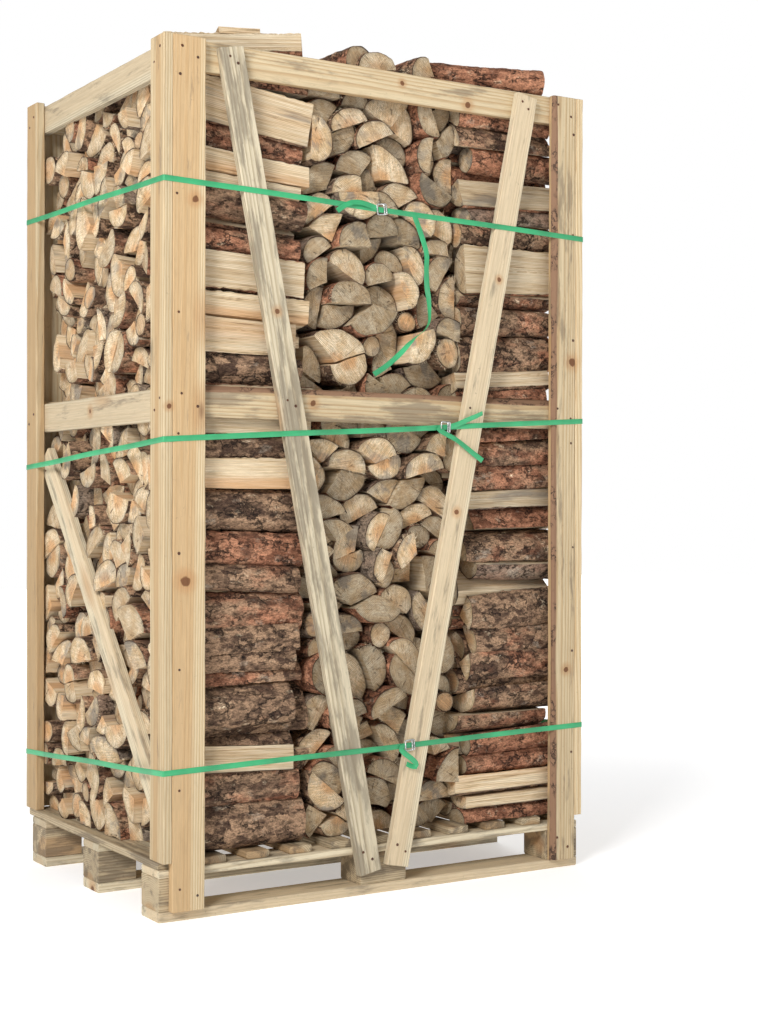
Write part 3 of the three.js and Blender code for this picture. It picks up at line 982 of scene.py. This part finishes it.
def endMaterial():
    material, w, shader = newMaterial("logEnd", woodLook["tan"])
    stem, depth = w.attribute("stem", "Vector"), w.attribute("depth")
    tone, pick = w.attribute("tone"), w.attribute("pick")
    x, y, along = w.parts(stem)
    own = w.joined(x, y, w.times(w.math("ROUND", along), 0.37))
    grain = placeGroup(w, stemGrain, {"Stem": own, "Ring Gap": 0.0034, "Wobble": 0.004})
    cloud = w.noise(own, 34.0, 4.0, 0.6)
    color = w.blend(w.ease(cloud, 0.3, 0.7), woodLook["pale"], woodLook["tan"])
    color = w.tint(color, grain["Rings"], 0.75, woodLook["line"])
    mottle = w.noise(own, 150.0, 4.0, 0.7)
    color = w.blend(w.ease(mottle, 0.5, 0.68, 0.0, 0.7), color, woodLook["line"])
    heart = w.times(w.ease(grain["Radius"], 0.014, 0.034, 1.0, 0.0), w.ease(tone, 0.35, 0.8))
    color = w.tint(color, heart, 0.65, woodLook["heart"])
    stained = w.times(w.ease(w.noise(w.vector("ADD", own, (4, 4, 0)), 20.0, 3.0), 0.5, 0.64),
                     w.ease(pick, 0.2, 0.8))
    color = w.tint(color, stained, 0.72, woodLook["stain"])
    # drying cracks run out from the pith
    angle = w.math("ARCTAN2", y, x)
    spoke = w.noise(w.joined(w.times(angle, 2.2), w.times(along, 3.1), 0.0), 2.6, 2.0, 0.5)
    crack = w.ease(w.math("ABSOLUTE", w.minus(spoke, 0.5)), 0.0, 0.011, 1.0, 0.0)
    crack = w.times(crack, w.ease(w.noise(own, 60.0), 0.5, 0.6))
    color = w.tint(color, crack, 0.8, woodLook["crack"])
    turned = w.node("ShaderNodeVectorRotate", {"Vector": own, "Angle": w.times(pick, 3.1)},
                    rotation_type="Z_AXIS").outputs[0]
    saw = w.noise(w.vector("MULTIPLY", turned, (0.05, 1, 1)), 520.0, 3.0, 0.6)
    color = w.blend(w.ease(depth, 0.0008, 0.0042, 1.0, 0.0), color, woodLook["rim"])
    fine = w.noise(own, 420.0, 3.0, 0.7)
    spread = w.node("ShaderNodeMapRange", {"Value": tone, "To Min": 0.52, "To Max": 1.24}).outputs[0]
    level = w.times(w.ease(fine, 0.28, 0.72, 0.78, 1.14), spread)
    level = w.times(level, w.ease(saw, 0.36, 0.64, 0.78, 1.1))
    # painted shade: each end face darkens over its outer 15 mm, so the gaps between log ends read as shaded
    level = w.times(level, w.ease(depth, 0.002, 0.015, 0.74, 1.0))
    color = w.shaded(color, level)
    height = w.minus(w.plus(w.times(saw, 0.4), w.times(fine, 0.5)), w.times(crack, 1.5))
    w.feed(shader, {"Base Color": color, "Roughness": w.ease(fine, 0.2, 0.8, 0.66, 0.88),
                    "Normal": bumpOf(w, height, 0.0014)})
    shader.inputs["Specular IOR Level"].default_value = 0.22
    return material


logBark, logSplit, logEnd = barkMaterial(), splitMaterial(), endMaterial()
logSurface = buildLogSurface()


# the logs in their bins

binPlaces = {  # how far the bin is turned, its middle, the share of the log length kept, how far ends stray, and pale: how far its logs' tone is lifted, painted light that makes the crate's left face brighter
    "logs_left": {
        "bin": "side", "turn": -90, "middle": (-0.3722, 0.0), "share": 1.0, "shift": 0.0045, "seed": 21,
        "pale": 0.45},
    "logs_right": {
        "bin": "side", "turn": 90, "middle": (0.3968, 0.0), "share": 0.872, "shift": 0.0055, "seed": 22,
        "pale": 0.1},
    "logs_middle_front": {
        "bin": "middle", "turn": 0, "middle": (0.0245, -0.188), "share": 1.0, "shift": 0.014, "seed": 23,
        "pale": 0.0},
    "logs_middle_back": {
        "bin": "middle", "turn": 180, "middle": (0.0245, 0.188), "share": 1.0, "shift": 0.014, "seed": 24,
        "pale": 0.0},
}
gaps = {"fine": 0.0078, "fineAlong": 0.0105, "coarse": 0.0115}  # between a log's points
fineRings, coarseRings = (0.94, 0.66, 0.33), (0.92, 0.6, 0.3)  # rings of points on a log's end
standOut = 0.021  # how far a log may stand out of its crate's side
fibreLook = {"share": 0.42, "gap": 0.0022, "height": 0.008, "radius": 0.00045, "seed": 12}
fibreSpots, fibreFacings = [], []


def tearFibres(arrays, place, chance):
    # some saw cuts leave a fringe of torn fibres along part of their rim
    if chance.random() > fibreLook["share"]:
        return
    count = arrays["ringCount"]
    rim = arrays["points"][:count]
    middle = rim.mean(0)
    angle = math.radians(place["turn"])
    outward = np.array([math.sin(angle), -math.cos(angle), 0.0])
    start, reach = chance.randrange(count), chance.randint(count // 6, count // 2)
    for k in range(reach):
        a, b = rim[(start + k) % count], rim[(start + k + 1) % count]
        for _ in range(max(1, round(np.linalg.norm(b - a) / fibreLook["gap"]))):
            spot = a + (b - a) * chance.random()
            away = (spot - middle) / np.linalg.norm(spot - middle)
            lean = away + outward * chance.uniform(-0.9, 0.25)
            lean += np.array([chance.gauss(0, 0.35) for _ in range(3)])
            fibreSpots.append(spot - away * 0.001 - outward * 0.0008)
            fibreFacings.append(lean / np.linalg.norm(lean))


def roomOutside(log, place):
    # how far a log's outer end may stand out between the rails and the brace of its side
    side = "left" if place["turn"] < 0 else "right"
    depth = log["place"][0] * (-1 if side == "left" else 1)
    height = log["place"][2] + stackFloor
    reach = log["radius"] + 0.004
    for rail in (f"top_rail_{side}", f"mid_rail_{side}"):
        low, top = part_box(rail)
        if low[2] - reach < height < top[2] + reach:
            return 0.0
    middle, axes, half = solidFrame(f"brace_{side}")
    away = np.array([0.0, depth - middle[1], height - middle[2]])
    along = away @ axes[0]
    if abs(along) < half[0] + reach and np.linalg.norm(away - axes[0] * along) < 0.036 + reach:
        return 0.0
    return standOut


def placedLog(log, place, chance, fine):
    if fine:
        steps = round(log["length"] * place["share"] / gaps["fineAlong"])
        arrays = logArrays(log, gaps["fine"], np.linspace(0, 1, steps + 1), (fineRings, fineRings))
    else:
        stations = np.array([0, 0.008, 0.02, 0.045, 0.11, 1.0])
        arrays = logArrays(log, gaps["coarse"], stations, (coarseRings, ()))
    world = arrays["points"] @ log["turn"].T + log["place"]
    world[:, 1] *= place["share"]
    world[:, 1] += max(-1.3, min(1.3, chance.gauss(0, 1))) * place["shift"]
    if place["bin"] == "side":
        world[:, 1] -= roomOutside(log, place) * chance.uniform(0.3, 1.0)
    angle = math.radians(place["turn"])
    turned = world.copy()
    turned[:, 0] = world[:, 0] * math.cos(angle) - world[:, 1] * math.sin(angle) + place["middle"][0]
    turned[:, 1] = world[:, 0] * math.sin(angle) + world[:, 1] * math.cos(angle) + place["middle"][1]
    turned[:, 2] += stackFloor
    count = len(turned)
    arrays["points"] = turned
    tone = (log["tone"] + chance.random() * 0.3) % 1
    # painted light: pale lifts the tone of a bin's logs, most on the left bin, whose ends form the crate's
    # brighter left face
    arrays["tone"] = np.full(count, min(1.0, tone * (1 - place["pale"]) + place["pale"]))
    arrays["pick"] = np.full(count, chance.random())
    tearFibres(arrays, place, chance)
    return arrays


def isExposed(log, look):
    # outer logs of a side bin and logs with nothing over them show along their whole length
    if log["place"][2] + 0.1 > stackTop - stackFloor - 0.05:
        return True
    return look is binLook["side"] and look["width"] / 2 - abs(log["place"][0]) < 0.058


def fibreMaterial():
    material, w, shader = newMaterial("fibreWood", woodLook["pale"])
    place = w.node("ShaderNodeTexCoord").outputs["Object"]
    cloud = w.noise(place, 60.0, 3.0)
    color = w.blend(w.ease(cloud, 0.35, 0.65), woodLook["tan"], woodLook["pale"])
    w.feed(shader, {"Base Color": color, "Roughness": w.ease(cloud, 0.3, 0.7, 0.7, 0.85),
                    "Normal": bumpOf(w, w.noise(place, 2600.0), 0.0001)})
    return material


fibreWood = fibreMaterial()
tornFibres = buildPegs("tornFibres", fibreWood, 4, 0.2, (0.3, 1.25))
stacked = {name: dropLogs(name) for name in binLook}
for name, place in binPlaces.items():
    logs = stacked[place["bin"]]
    chance = random.Random(place["seed"])
    look = binLook[place["bin"]]
    exposed = [isExposed(log, look) for log in logs]
    arrays = [placedLog(log, place, chance, fine) for log, fine in zip(logs, exposed)]
    node = "logs_middle" if "middle" in name else name
    logPiece(name + "_outer", [a for a, fine in zip(arrays, exposed) if fine], node)
    logPiece(name + "_inner", [a for a, fine in zip(arrays, exposed) if not fine], node)

standPegs("torn_fibres", tornFibres, fibreSpots, fibreFacings, fibreLook, "split_wood")


# loose logs on top of the stack

looseLook = {
    "loose_log_left": {
        "radius": 0.045, "cuts": (((1, 0), 0.024), ((0, 1), 0.009)), "length": 0.33, "heading": -29,
        "tone": 0.25, "pick": 0.1},
    "loose_log_middle": {
        "radius": 0.039, "cuts": (((0, -1), 0.033),), "length": 0.33, "heading": 92,
        "tone": 0.5, "pick": 0.3},
    "loose_log_right": {
        "radius": 0.034, "cuts": (), "length": 0.33, "heading": -15, "tone": 0.12, "pick": 0.2},
}
offcutLook = (  # smaller split pieces: shape, middle, heading, roll and the piece each belongs to
    {"radius": 0.05, "cuts": (((0.2, -1), 0.002),), "length": 0.29, "heading": 84, "roll": 4,
     "place": (0.028, -0.215), "bottom": 2.0096, "with": "loose_log_middle"},
    {"radius": 0.052, "cuts": (((0, -1), 0.004), ((1, 0.2), 0.02)), "length": 0.25, "heading": 97,
     "roll": -16, "place": (0.128, -0.235), "bottom": 2.0096, "with": "loose_log_middle"},
    {"radius": 0.05, "cuts": (((0, -1), -0.012), ((0, 1), 0.03), ((1, 0.3), 0.014)), "length": 0.1,
     "heading": -20, "place": (-0.343, -0.297), "bottom": 2.0652, "with": "loose_log_left"},
)
looseGaps = {"around": 0.0055, "along": 0.006}
looseRings = (0.95, 0.7, 0.45, 0.2)


def shapedLog(look, seed):
    chance = random.Random(seed)
    log = newLog(chance, "whole", look["radius"], look["length"])
    outline = barkOutline(log, 60)
    for normal, offset in look["cuts"]:
        outline = cutOutline(outline, normal, offset)
    spots = np.array(outline)[:, :2]
    log["middle"] = tuple((spots.min(0) + spots.max(0)) / 2)
    log["outline"] = [(x - log["middle"][0], z - log["middle"][1], tag) for x, z, tag in outline]
    log["taper"] *= 0.4
    return log


def laidLog(look, seed, place, bottom):
    log = shapedLog(look, seed)
    steps = round(look["length"] / looseGaps["along"])
    arrays = logArrays(log, looseGaps["around"], np.linspace(0, 1, steps + 1), (looseRings, looseRings))
    roll = Matrix.Rotation(math.radians(look.get("roll", 0)), 3, "Y")
    turn = Matrix.Rotation(math.radians(look["heading"] - 90), 3, "Z") @ roll
    points = arrays["points"] @ np.array(turn).T
    points[:, :2] += place
    points[:, 2] += bottom - points[:, 2].min()
    arrays["points"] = points
    arrays["tone"] = np.full(len(points), look.get("tone", 0.6))
    arrays["pick"] = np.full(len(points), look.get("pick", 0.3))
    return arrays


def layLooseLogs():
    for number, (node, look) in enumerate(looseLook.items()):
        low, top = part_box(node)
        middle = np.array([(low[0] + top[0]) / 2, (low[1] + top[1]) / 2])
        laid = [laidLog(look, 70 + number, middle, low[2] + 0.0015)]
        laid += [laidLog(cut, 80 + k, np.array(cut["place"]), cut["bottom"])
                 for k, cut in enumerate(offcutLook) if cut["with"] == node]
        logPiece(node + "_wood", laid, node)


layLooseLogs()


# straps, their tails and buckles

strapLook = {
    "width": 0.013, "thick": 0.0009, "cornerRadius": 0.003, "step": 0.03,
    "color": paint(38, 170, 106), "worn": paint(120, 205, 158), "deep": paint(20, 128, 76),
}

# points of each tail from its buckle: sideways, outwards, upwards, and the strap's turn in degrees
tailLook = {
    "top": (
        ((0.094, 0.0006, -0.004, 8), (0.101, 0.004, -0.024, 12), (0.112, 0.010, -0.060, 14),
         (0.1225, 0.014, -0.100, 8), (0.1215, 0.015, -0.140, 6), (0.124, 0.014, -0.180, 30),
         (0.131, 0.012, -0.215, 66), (0.1335, 0.011, -0.245, 84), (0.131, 0.012, -0.268, 96),
         (0.116, 0.014, -0.288, 104), (0.092, 0.015, -0.305, 96), (0.072, 0.014, -0.323, 62),
         (0.045, 0.012, -0.350, 30), (0.010, 0.009, -0.379, 22), (-0.024, 0.006, -0.401, 18)),
        ((-0.014, 0.0022, 0.001, 0), (-0.034, 0.003, 0.006, 6), (-0.060, 0.004, 0.0105, 16),
         (-0.085, 0.0045, 0.0085, 24), (-0.106, 0.004, -0.001, 22), (-0.126, 0.003, -0.015, 10)),
    ),
    "middle": (
        ((0.013, 0.0022, 0.001, 0), (0.036, 0.004, 0.008, 5), (0.063, 0.007, 0.0195, 12),
         (0.087, 0.010, 0.029, 20), (0.105, 0.013, 0.0375, 28)),
        ((-0.012, 0.0022, 0.0, 0), (-0.022, 0.0042, -0.006, 0), (-0.003, 0.006, -0.0165, -6),
         (0.027, 0.007, -0.030, -10), (0.051, 0.008, -0.045, -6), (0.076, 0.009, -0.062, 4),
         (0.107, 0.010, -0.082, 12)),
    ),
    "bottom": (
        ((-0.014, 0.0022, -0.001, 0), (-0.028, 0.004, -0.006, 4), (-0.020, 0.007, -0.017, 8),
         (-0.004, 0.011, -0.030, 14), (0.010, 0.013, -0.043, 20), (0.012, 0.010, -0.053, 24),
         (0.001, 0.006, -0.051, 22), (-0.011, 0.0045, -0.045, 18)),
    ),
}


def smoothPath(points, step):
    # an even path through the given points (Catmull-Rom)
    points = np.asarray(points, float)
    padded = np.concatenate([[2 * points[0] - points[1]], points, [2 * points[-1] - points[-2]]])
    fine = []
    for k in range(1, len(padded) - 2):
        a, b, c, d = padded[k - 1:k + 3]
        for t in np.arange(0, 1, 0.05):
            fine.append(0.5 * (2 * b + (c - a) * t + (2 * a - 5 * b + 4 * c - d) * t ** 2
                               + (3 * b - 3 * c + d - a) * t ** 3))
    fine = np.array(fine + [points[-1]])
    run = np.concatenate([[0], np.cumsum(np.linalg.norm(np.diff(fine[:, :3], axis=0), axis=1))])
    even = np.linspace(0, run[-1], max(3, round(run[-1] / step)))
    return np.stack([np.interp(even, run, fine[:, k]) for k in range(fine.shape[1])], 1), run[-1]


def ribbonArrays(path, across, closed):
    # a flat strap with rounded edges along a path
    wide, thick = strapLook["width"] / 2, strapLook["thick"] / 2
    profile = ((-1, -0.5), (-0.93, -1), (0, -1), (0.93, -1), (1, -0.5),
               (1, 0.5), (0.93, 1), (0, 1), (-0.93, 1), (-1, 0.5))
    ahead = np.roll(path, -1, 0) - np.roll(path, 1, 0)
    if not closed:
        ahead[0], ahead[-1] = path[1] - path[0], path[-1] - path[-2]
    ahead /= np.linalg.norm(ahead, axis=1)[:, None]
    across = across - ahead * (across * ahead).sum(1)[:, None]
    across /= np.linalg.norm(across, axis=1)[:, None]
    outward = np.cross(ahead, across)
    rings = [path + across * wide * a + outward * thick * b for a, b in profile]
    grid = np.stack(rings, 1)
    count, sides = grid.shape[:2]
    run = np.concatenate([[0], np.cumsum(np.linalg.norm(np.diff(path, axis=0), axis=1))])
    lay = np.stack([np.tile([wide * a for a, _ in profile], (count, 1)), np.tile(run[:, None], (1, sides)),
                    np.zeros((count, sides))], -1)
    faces = []
    for s in range(count if closed else count - 1):
        for k in range(sides):
            a, b = s * sides + k, s * sides + (k + 1) % sides
            c, d = (s + 1) % count * sides + (k + 1) % sides, (s + 1) % count * sides + k
            faces.append((a, b, c, d))
    if not closed:
        faces.append(tuple(range(sides - 1, -1, -1)))
        faces.append(tuple((count - 1) * sides + k for k in range(sides)))
    return grid.reshape(-1, 3), lay.reshape(-1, 3), faces


def strapMaterial():
    material, w, shader = newMaterial("strapGreen", strapLook["color"])
    lay = w.attribute("lay", "Vector")
    place = w.node("ShaderNodeTexCoord").outputs["Object"]
    across, along = w.parts(lay)[0], w.parts(lay)[1]
    waffleScale = 3900.0
    diagonal = w.math("SINE", w.times(w.plus(across, along), waffleScale))
    other = w.math("SINE", w.times(w.minus(across, along), waffleScale))
    waffle = w.times(diagonal, other)
    drawn = w.noise(w.vector("MULTIPLY", lay, (1, 0.02, 1)), 700.0, 3.0)
    cloud = w.noise(place, 9.0, 3.0)
    scuff = placeGroup(w, grime, {"Position": w.vector("MULTIPLY", lay, (1, 0.3, 1)), "Size": 0.004,
                                  "Cover": 0.2})["Mask"]
    color = w.blend(w.ease(cloud, 0.3, 0.7), strapLook["color"], strapLook["deep"])
    color = w.tint(color, drawn, 0.35, strapLook["worn"])
    color = w.tint(color, scuff, 0.4, strapLook["worn"])
    height = w.plus(w.times(waffle, 0.5), drawn)
    w.feed(shader, {"Base Color": color, "Roughness": w.ease(drawn, 0.3, 0.7, 0.3, 0.48),
                    "Normal": bumpOf(w, height, 0.00012, 0.6)})
    return material


strapGreen = strapMaterial()


def cornerHeights(node):
    # height of the strap's middle at each corner of the crate, going round from front left
    spots = np.array([v.co for v in frame["nodes"][node].data.vertices])
    low, top = spots.min(0), spots.max(0)
    heights = []
    for x, y in ((low[0], low[1]), (top[0], low[1]), (top[0], top[1]), (low[0], top[1])):
        near = spots[np.hypot(spots[:, 0] - x, spots[:, 1] - y) < 0.03][:, 2]
        heights.append((near.min() + near.max()) / 2)
    return low, top, heights


def strapLoop(low, top, heights):
    inset, radius = strapLook["thick"] / 2, strapLook["cornerRadius"]
    x0, y0, x1, y1 = low[0] + inset, low[1] + inset, top[0] - inset, top[1] - inset
    corners = [(x0, y0, 225), (x1, y0, 315), (x1, y1, 45), (x0, y1, 135)]
    points = []
    for k, (x, y, facing) in enumerate(corners):
        centre = (x + radius * (1 if x == x0 else -1), y + radius * (1 if y == y0 else -1))
        for step in range(-2, 3):
            angle = math.radians(facing + step * 22.5)
            points.append((centre[0] + radius * math.cos(angle), centre[1] + radius * math.sin(angle),
                           heights[k]))
        following = corners[(k + 1) % 4]
        run = math.hypot(following[0] - x, following[1] - y)
        steps = round(run / strapLook["step"])
        for s in range(1, steps):
            share = s / steps
            edge = max(radius / run * 1.5, min(1 - radius / run * 1.5, share))
            height = heights[k] + (heights[(k + 1) % 4] - heights[k]) * share
            lift = 0.0011 * math.sin(math.pi * share * 3 + k) * math.sin(math.pi * share)
            points.append((x + (following[0] - x) * edge, y + (following[1] - y) * edge, height + lift))
    return np.array(points)


def makeStraps():
    for name, tails in tailLook.items():
        low, top, heights = cornerHeights("strap_" + name)
        loop = strapLoop(low, top, heights)
        points, lay, faces = ribbonArrays(loop, np.tile((0.0, 0.0, 1.0), (len(loop), 1)), True)
        allPoints, allLay, allFaces = [points], [lay], list(faces)
        offset = len(points)
        buckleLow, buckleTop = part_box("buckle_" + name)
        middleX, middleZ = (buckleLow[0] + buckleTop[0]) / 2, (buckleLow[2] + buckleTop[2]) / 2
        lengths = []
        for tail in tails:
            route = [(middleX + dx, low[1] - out, middleZ + dz, turn) for dx, out, dz, turn in tail]
            even, length = smoothPath(route, 0.006)
            lengths.append(round(length, 3))
            path = even[:, :3]
            ahead = np.gradient(path, axis=0)
            ahead /= np.linalg.norm(ahead, axis=1)[:, None]
            face = np.tile((0.0, -1.0, 0.0), (len(path), 1))
            face -= ahead * (face * ahead).sum(1)[:, None]
            face /= np.linalg.norm(face, axis=1)[:, None]
            side = np.cross(face, ahead)
            angle = np.radians(even[:, 3])[:, None]
            across = side * np.cos(angle) + face * np.sin(angle)
            points, lay, faces = ribbonArrays(path, across, False)
            allPoints.append(points)
            allLay.append(lay)
            allFaces += [tuple(i + offset for i in face) for face in faces]
            offset += len(points)
        made = newObject(f"strap_{name}_band", np.concatenate(allPoints), allFaces)
        mesh = made.data
        storeValues(mesh, "lay", "FLOAT_VECTOR", np.concatenate(allLay))
        mesh.materials.append(strapGreen)
        turnOutwards(mesh)
        mesh.shade_smooth()
        mesh.set_sharp_from_angle(angle=math.radians(60))
        settle(made, "green_strap", "strap_" + name)
        report(f"{name} strap, tails {lengths} m")


makeStraps()


# wire buckles and nails

wireLook = {
    "diameter": 0.0036, "wide": 0.026, "high": 0.025, "bend": 0.003,
    "bar": 0.0062, "arch": 0.0016,  # place and bow of the bar across the buckle
    "tilt": {"top": -7, "middle": 3, "bottom": -4},
    "bright": paint(228, 230, 230), "dull": paint(150, 152, 150),
}
nailLook = {
    "radius": 0.0034, "height": 0.0011, "seed": 6, "lift": 0.0002, "stray": 0.0022,
    "rowStart": 0.3, "rowGap": 0.27, "rowAside": 0.026,  # the row into each side board's edge
    "plank": ((-0.02, 0.013), (0.018, -0.012)), "brace": ((-0.013, 0.009), (0.012, -0.008)),
    "board": ((-0.017, 0.012), (0.016, -0.012)), "sideBrace": ((-0.012, 0.01), (0.012, -0.008)),
    "color": paint(78, 68, 62), "rust": paint(104, 62, 40),
}


def metalMaterial(name, first, second, metallic):
    material, w, shader = newMaterial(name, first)
    place = w.node("ShaderNodeTexCoord").outputs["Object"]
    spangle = w.parts(w.cells(place, 420.0)["Color"])[0]
    cloud = w.noise(place, 90.0, 3.0)
    color = w.blend(w.ease(w.plus(w.times(spangle, 0.4), cloud), 0.4, 0.95), first, second)
    w.feed(shader, {"Base Color": color, "Roughness": w.ease(cloud, 0.3, 0.7, 0.22, 0.5),
                    "Normal": bumpOf(w, w.plus(cloud, spangle), 0.0001)})
    shader.inputs["Metallic"].default_value = metallic
    return material


galvanised = metalMaterial("galvanisedWire", wireLook["bright"], wireLook["dull"], 0.75)
nailSteel = metalMaterial("nailSteel", nailLook["color"], nailLook["rust"], 0.4)


def buildBentWire():
    tree, w, given, made = newTree(
        "bentWire", "GeometryNodeTree",
        [("Geometry", "NodeSocketGeometry", None), ("Wire Diameter", "NodeSocketFloat", 0.003)],
        [("Geometry", "NodeSocketGeometry")])
    curve = w.node("GeometryNodeMeshToCurve", {"Mesh": given["Geometry"]}).outputs[0]
    radius = w.times(given["Wire Diameter"], 0.5)
    circle = w.node("GeometryNodeCurvePrimitiveCircle", {"Resolution": 10, "Radius": radius}).outputs[0]
    tube = w.node("GeometryNodeCurveToMesh", {"Curve": curve, "Profile Curve": circle,
                                              "Fill Caps": True}).outputs[0]
    whole = w.node("GeometryNodeRealizeInstances", {"Geometry": tube}).outputs[0]
    coated = w.node("GeometryNodeSetMaterial", {"Geometry": whole, "Material": galvanised}).outputs[0]
    w.feed(made, {"Geometry": coated})
    return tree


bentWire = buildBentWire()
nailHeads = buildPegs("nailHeads", nailSteel, 14, 0.82, (0.82, 1.12))


def bendBuckle(name):
    # a bent wire frame with a bar that the strap ends wrap round
    low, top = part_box("buckle_" + name)
    middle = np.array([(low[0] + top[0]) / 2, (low[1] + top[1]) / 2 - 0.0004, (low[2] + top[2]) / 2])
    wide, high, radius = wireLook["wide"] / 2, wireLook["high"] / 2, wireLook["bend"]
    ring = []
    for x, z, start in ((wide, high, 0), (-wide, high, 90), (-wide, -high, 180), (wide, -high, 270)):
        for step in range(5):
            angle = math.radians(start + step * 22.5)
            ring.append((x - math.copysign(radius, x) + radius * math.cos(angle), 0,
                         z - math.copysign(radius, z) + radius * math.sin(angle)))
    count, steps = len(ring), 8
    bar = [(wireLook["bar"], -wireLook["arch"] * math.sin(math.pi * k / steps), high * (2 * k / steps - 1))
           for k in range(steps + 1)]
    points = ring + bar
    edges = [(k, (k + 1) % count) for k in range(count)]
    edges += [(count + k, count + k + 1) for k in range(steps)]
    tilt = np.array(Matrix.Rotation(math.radians(wireLook["tilt"][name]), 3, "Y"))
    mesh = bpy.data.meshes.new("buckle")
    mesh.from_pydata((np.array(points) @ tilt.T + middle).tolist(), edges, [])
    made = bpy.data.objects.new(f"buckle_{name}_wire", mesh)
    bpy.context.scene.collection.objects.link(made)
    finishedWith(made, bentWire, {"Wire Diameter": wireLook["diameter"]})
    made.data.shade_smooth()
    settle(made, "galvanised_wire", "buckle_" + name)


for name in tailLook:
    bendBuckle(name)


def nailSpots():
    # nails go in pairs where a plank, board or brace crosses a rail
    chance = random.Random(31)
    spots, facings = [], []

    def level(node):
        low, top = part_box(node)
        return (low[2] + top[2]) / 2

    def drive(place, axis, out, pair=((0, 0),)):
        # the heads face along x (axis 0) or y (axis 1)
        facing = [0, 0, 0]
        facing[axis] = out
        for aside, up in pair:
            spot = list(place)
            spot[1 - axis] += aside
            spot[2] += up
            spots.append([p + f * nailLook["lift"] + chance.gauss(0, nailLook["stray"]) * (0 if f else 1)
                          for p, f in zip(spot, facing)])
            facings.append(facing)

    for side, out in (("front", -1), ("back", 1)):
        rails = [level(f"top_rail_{side}"), level(f"mid_rail_{side}")]
        for hand in ("left", "right"):
            low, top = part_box(f"post_plank_{side}_{hand}")
            face = low[1] if out < 0 else top[1]
            centre = (low[0] + top[0]) / 2
            for height in rails + [0.07 if out < 0 else 0.16]:
                drive((centre, face, height), 1, out, nailLook["plank"])
            aside = centre + math.copysign(nailLook["rowAside"], centre)
            for k in range(7):
                drive((aside, face, nailLook["rowStart"] + k * nailLook["rowGap"]), 1, out)
            low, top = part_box(f"brace_{side}_{hand}")
            origin, axes, _ = solidFrame(f"brace_{side}_{hand}")
            line = axes[0] / axes[0][2]
            face = low[1] if out < 0 else top[1]
            for height in (rails[0] - 0.004, rails[1] - 0.002, low[2] + 0.05):
                at = origin + line * (height - origin[2])
                drive((at[0], face, height), 1, out, nailLook["brace"])
    for hand, out in (("left", -1), ("right", 1)):
        for side in ("front", "back"):
            low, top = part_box(f"post_board_{side}_{hand}")
            face = low[0] if out < 0 else top[0]
            for rail in ("top", "mid"):
                height = level(f"{rail}_rail_{hand}")
                drive((face, (low[1] + top[1]) / 2, height), 0, out, nailLook["board"])
        origin, axes, half = solidFrame(f"brace_{hand}")
        face = origin[0] + out * min(half[1], half[2])
        for share in (-0.93, 0.93):
            at = origin + axes[0] * half[0] * share
            drive((face, at[1], at[2]), 0, out, nailLook["sideBrace"])
    return spots, facings


standPegs("crate_nails", nailHeads, *nailSpots(), nailLook, "galvanised_wire")


# floor, light and camera

stageLook = {
    "size": 14.0, "floor": paint(250, 250, 250), "clouds": (paint(252, 252, 252), paint(248, 248, 249)),
    "world": 0.36, "floorGlow": 0.38,
    "camera": {"place": (-2.2088, -3.9209, 0.9501), "yaw": 0.5591, "pitch": -0.0047, "roll": -0.0019,
               "lens": 59.6},
    "lights": {
        "key": {"place": (-5.0, -3.9, 3.9), "size": 1.8, "power": 350},
        "fill": {"place": (4.4, -3.6, 2.6), "size": 3.5, "power": 20},
        "back": {"place": (2.5, 5.0, 4.5), "size": 3.0, "power": 110},
    },
}


def buildStage():
    corners = [(x * stageLook["size"], y * stageLook["size"], 0)
               for x, y in ((-1, -1), (1, -1), (1, 1), (-1, 1))]
    floor = newObject("studio_floor", corners, [(0, 1, 2, 3)])
    material, w, shader = newMaterial("studio_floor", stageLook["floor"])
    place = w.node("ShaderNodeTexCoord").outputs["Object"]
    cloud = w.noise(place, 3.0)
    glow = w.ease(w.length(place), 1.3, 6.0, stageLook["floorGlow"], 1.1)
    w.feed(shader, {"Base Color": w.blend(cloud, *stageLook["clouds"]),
                    "Roughness": 0.85, "Emission Color": w.joined(glow, glow, glow)})
    shader.inputs["Emission Strength"].default_value = 1.0
    floor.data.materials.append(material)

    world = bpy.data.worlds.new("studio")
    bpy.context.scene.world = world
    world.use_nodes = True
    w = Wires(world.node_tree)
    seen = w.node("ShaderNodeLightPath").outputs["Is Camera Ray"]
    strength = w.node("ShaderNodeMix", {0: seen, 2: stageLook["world"], 3: 1.0}).outputs[0]
    w.feed(world.node_tree.nodes["Background"], {"Color": (1, 1, 1, 1), "Strength": strength})

    for name, look in stageLook["lights"].items():
        light = bpy.data.lights.new(name, "AREA")
        light.size = look["size"]
        light.energy = look["power"]
        lamp = bpy.data.objects.new(name, light)
        bpy.context.scene.collection.objects.link(lamp)
        lamp.location = look["place"]
        aim = Vector((0, 0, 1.0)) - lamp.location
        lamp.rotation_euler = aim.to_track_quat("-Z", "Y").to_euler()

    look = stageLook["camera"]
    camera = bpy.data.cameras.new("camera")
    camera.lens = look["lens"]
    stand = bpy.data.objects.new("camera", camera)
    bpy.context.scene.collection.objects.link(stand)
    stand.location = look["place"]
    stand.rotation_euler = (math.pi / 2 + look["pitch"], look["roll"], -look["yaw"])
    bpy.context.scene.camera = stand
    bpy.context.scene.view_settings.view_transform = "Standard"


buildStage()
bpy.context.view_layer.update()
report("all pieces")
